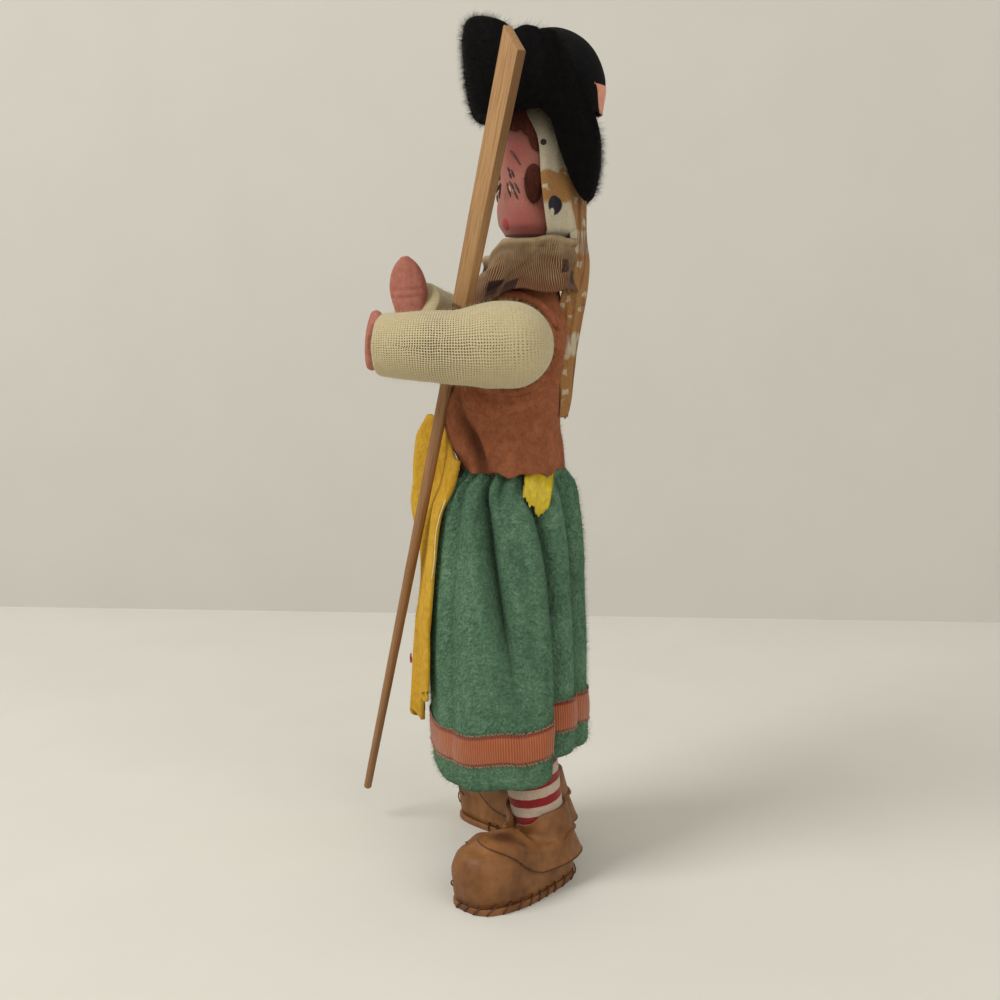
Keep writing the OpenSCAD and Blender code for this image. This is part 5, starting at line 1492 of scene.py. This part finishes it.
def upperPoint(a, b, offset):
    toe = hillRound(a, 0, 60)
    r = soleReach(a, offset - 2.1) * max(cosd(b), 0) ** (0.75 - 0.47 * toe)  # boxier towards the toe
    high = (shoeCut["height"] + offset) * (0.97 + 0.01 * cosd(a))
    z = shoeCut["sole"] + high * max(sind(b), 0) ** (0.9 - 0.1 * toe)
    return Vector((r * cosd(a), r * sind(a), z))


def fromShoe(p):
    c, s = cosd(shoeCut["turn"]), sind(shoeCut["turn"])
    return Vector(shoeCut["middle"]) + Vector((c * p.x - s * p.y, s * p.x + c * p.y, p.z))


def legCore(u, v):
    if v < 0.75:
        z = between(legCut["ankleZ"], hipZ, clamp((v - 0.06) / 0.69))
        return legLine(z) + (legPoint(360 * u, z, 0) - legLine(z)) * roundOff(v / 0.06)
    b = 90 * (v - 0.75) / 0.25
    way = Vector((cosd(360 * u) * cosd(b), sind(360 * u) * cosd(b), sind(b)))
    return legLine(hipZ) + legCut["ball"] * way


def stockingPoint(u, v):
    z = between(legCut["stockingLow"], legCut["stockingHigh"], v)
    wrinkle = 0.14 * math.sin(1.9 * z + 2 * sind(360 * u)) * hill(z, 16, 5)
    wrinkle += 0.12 * roundNoise(360 * u, 0.3 * z, 1.5, 0)
    return legPoint(360 * u, z, 0.68 + wrinkle)


def footPoint(u, v):
    b = 82 * clamp((v - 0.3) / 0.62)
    closing = clamp(v / 0.3) if v < 0.3 else roundOff((1 - v) / 0.08)
    point = upperPoint(360 * u, b, -0.15)
    point.z = min(point.z, legCut["ankleZ"] - 0.1)
    return fromShoe(Vector((point.x * closing, point.y * closing, point.z)))


def vampPoint(u, v):
    a = -180 + 360 * u
    return vampAt(a, valueAt(shoeCut["vampRise"], abs(a)) * (1 - (1 - v) ** 2), 1.05)


def vampAt(a, b, offset):
    toe = hill(a, 0, 70)
    crease = -0.5 * toe * hill(b, 66, 7) + 0.3 * roundNoise(a, 0.05 * b, 1.5, 0)
    pucker = 0.25 * cosd(24 * a) * toe * hill(b, 10, 8)
    point = upperPoint(a, b, offset + crease + pucker)
    # a boxy toe, flush with the sole
    box = 1 + 0.2 * toe * math.sin(math.radians(2 * b)) + 0.055 * hill(b, 0, 12)
    return fromShoe(Vector((point.x * box, point.y * box, point.z + 1.3 * toe * sind(b) ** 2)))


def quarterPoint(u, v):
    a = between(shoeCut["start"], shoeCut["end"], u)
    seam = valueAt(shoeCut["seam"], abs(180 - a))
    front = ease(abs(180 - a), 120, 165)
    inner = front * (a > 180)  # the corner on the inner side stands off as a tongue
    heel = 2.2 * ease(-cosd(a), 0.2, 0.9)
    low = fromShoe(upperPoint(a, seam, 2.4 + heel))
    shoulderPoint = fromShoe(upperPoint(a, min(seam + 22, 74 + 12 * front), 2.5 + heel))
    axis = legLine(shoeCut["collarLow"])
    way = math.degrees(math.atan2(shoulderPoint.y - axis.y, shoulderPoint.x - axis.x))
    dip = shoeCut["collarHigh"] - shoeCut["collarLow"] - 2
    top = shoeCut["collarHigh"] - dip * (0.5 + 0.5 * cosd(a))
    neck = legPoint(way, shoeCut["collarLow"] - 0.8, 2.6 + 2.4 * inner)
    edge = legPoint(way, top, 1.7 + 4.6 * inner)
    return Vector(curveAt([low, shoulderPoint, neck, edge], 3 * v))


def solePoint(u, v):
    a = 360 * u
    edge = math.sin(math.pi * clamp((v - 0.42) / 0.16))
    reach = clamp(v / 0.42) if v < 0.5 else clamp((1 - v) / 0.42)
    r = soleReach(a, -0.15) * reach + 0.15 * edge
    z = shoeCut["sole"] * ease(v, 0.42, 0.58)
    return fromShoe(Vector((r * cosd(a), r * sind(a), z)))


def shoeStitches():
    bm = bmesh.new()
    a, travelled = -176.0, 0.0
    while a < 176:
        if travelled >= shoeCut["stitchGap"]:
            travelled = 0.6 * random.random()
            path = []
            climb = 46 * hill(a, -48, 20)  # the seam climbs at the inner side of the toe
            for turn, out, z in shoeCut["stitch"]:
                r = soleReach(a + turn, out)
                low = fromShoe(Vector((r * cosd(a + turn), r * sind(a + turn), z)))
                path.append(vampAt(a + turn, climb + 4 * z, 1.25 + 0.5 * out) if climb > 6 else low)
            addInto(bm, tube(path, shoeCut["stitchRadius"], 6))
        a += 0.5
        travelled += math.radians(0.5) * soleReach(a, 0)
    # the line where the quarter is sewn to the vamp
    seamPath = [quarterPoint(k / 90, 0) for k in range(91)]
    addInto(bm, tube(seamPath, shoeCut["seamRadius"], 6))
    return bm


def onSide(bm, side):
    if side < 0:
        bmesh.ops.scale(bm, vec=(-1, 1, 1), verts=bm.verts)
        bmesh.ops.reverse_faces(bm, faces=bm.faces)
    return bm


for side, name in ((1, "left"), (-1, "right")):
    def legPiece(part, shape, material, node, closed=True):
        bm = onSide(clothGrid(*legCut["grids"][part], shape, closed), side)
        return makePiece(name + part, bm, material, name + "_leg", [name + node])

    core = legPiece("LegCore", legCore, bodyCotton, "_leg_stuffing")
    pad = legPiece("FootPad", footPoint, bodyCotton, "_foot_pad")
    stocking = legPiece("Stocking", stockingPoint, stockingKnit, "_stocking")
    thicken(stocking, legCut["stocking"])
    vamp = legPiece("ShoeVamp", vampPoint, shoeLeather, "_shoe_vamp")
    thicken(vamp, shoeCut["leather"])
    quarter = legPiece("ShoeQuarter", quarterPoint, shoeLeather, "_shoe_quarter",
                       closed=False)
    thicken(quarter, shoeCut["leather"])
    legPiece("Sole", solePoint, shoeLeather, "_sole")
    makePiece(name + "ShoeStitches", onSide(shoeStitches(), side), shoeThread, name + "_leg",
              [name + "_shoe_stitching"])
print("legs and shoes done")

# camera at the photograph's angle

cameraSet = {"place": (355, -3.9, 150), "pitch": 8.4, "lens": 49.5, "sensor": 36, "nearest": 0.01}
cameraData = bpy.data.cameras.new("camera")
cameraData.lens = cameraSet["lens"]
cameraData.sensor_width = cameraSet["sensor"]
cameraData.clip_start = cameraSet["nearest"]
camera = bpy.data.objects.new("camera", cameraData)
camera.location = spot(*cameraSet["place"])
camera.rotation_euler = (math.radians(90 - cameraSet["pitch"]), 0, math.radians(90))
bpy.context.collection.objects.link(camera)
bpy.context.scene.camera = camera

# pale floor and wall, soft light from the upper left

stageSet = {"floor": paint(222, 219, 208), "wall": paint(204, 200, 190), "wallX": -0.287,
            "wallTurn": -4.0, "size": 3.0}


def paleMaterial(name, colour):
    material = newMaterial(name, {"Roughness": 0.7, "Specular IOR Level": 0.2})
    grain = speckle(inMillimetres(material), 0.02, detail=4)
    darker = tuple(part * 0.97 for part in colour[:3]) + (1,)
    plug(material, "Base Color", ramp(grain, [(0.3, darker), (0.7, colour)]))
    return material


def openFromBehind(material):  # the wall lets the view through from its back
    tree = material.node_tree
    shaded = tree.nodes["Principled BSDF"].outputs["BSDF"]
    clear = addNode(tree, "ShaderNodeBsdfTransparent").outputs["BSDF"]
    behind = addNode(tree, "ShaderNodeNewGeometry").outputs["Backfacing"]
    mixed = addNode(tree, "ShaderNodeMixShader", {"Fac": behind, 1: shaded, 2: clear})
    tree.links.new(mixed.outputs["Shader"], tree.nodes["Material Output"].inputs["Surface"])


for stageName, turn, place, colour in (
        ("floor", Matrix.Identity(4), (0, 0, 0), stageSet["floor"]),
        ("wall", turnAbout("Z", stageSet["wallTurn"]) @ turnAbout("Y", 90), (stageSet["wallX"], 0, 0),
         stageSet["wall"])):
    stageBm = bmesh.new()
    bmesh.ops.create_grid(stageBm, x_segments=1, y_segments=1, size=stageSet["size"],
                          matrix=Matrix.Translation(place) @ turn)
    stageMesh = bpy.data.meshes.new(stageName)
    stageBm.to_mesh(stageMesh)
    stageBm.free()
    stageMesh.materials.append(paleMaterial(stageName + "Paint", colour))
    if stageName == "wall":
        openFromBehind(stageMesh.materials[0])
    stagePiece = bpy.data.objects.new(stageName, stageMesh)
    bpy.context.collection.objects.link(stagePiece)

lightSet = {
    "key": {"place": (0.45, -0.75, 0.95), "size": 0.55, "power": 9.0},
    "fill": {"place": (0.9, 0.5, 0.6), "size": 0.9, "power": 4.0},
}
worldSet = {"colour": (1, 0.985, 0.96, 1), "strength": 0.45}
lightAim = Vector((0, 0, 0.1))
for lightName, light in lightSet.items():
    lampData = bpy.data.lights.new(lightName, "AREA")
    lampData.size = light["size"]
    lampData.energy = light["power"]
    lamp = bpy.data.objects.new(lightName, lampData)
    lamp.location = light["place"]
    lamp.rotation_euler = (lightAim - lamp.location).to_track_quat("-Z", "Y").to_euler()
    bpy.context.collection.objects.link(lamp)

world = bpy.data.worlds.new("studio")
world.use_nodes = True
sky = world.node_tree.nodes["Background"]
sky.inputs["Color"].default_value = worldSet["colour"]
sky.inputs["Strength"].default_value = worldSet["strength"]
bpy.context.scene.world = world
bpy.context.scene.view_settings.view_transform = "Standard"
print("camera and light done")
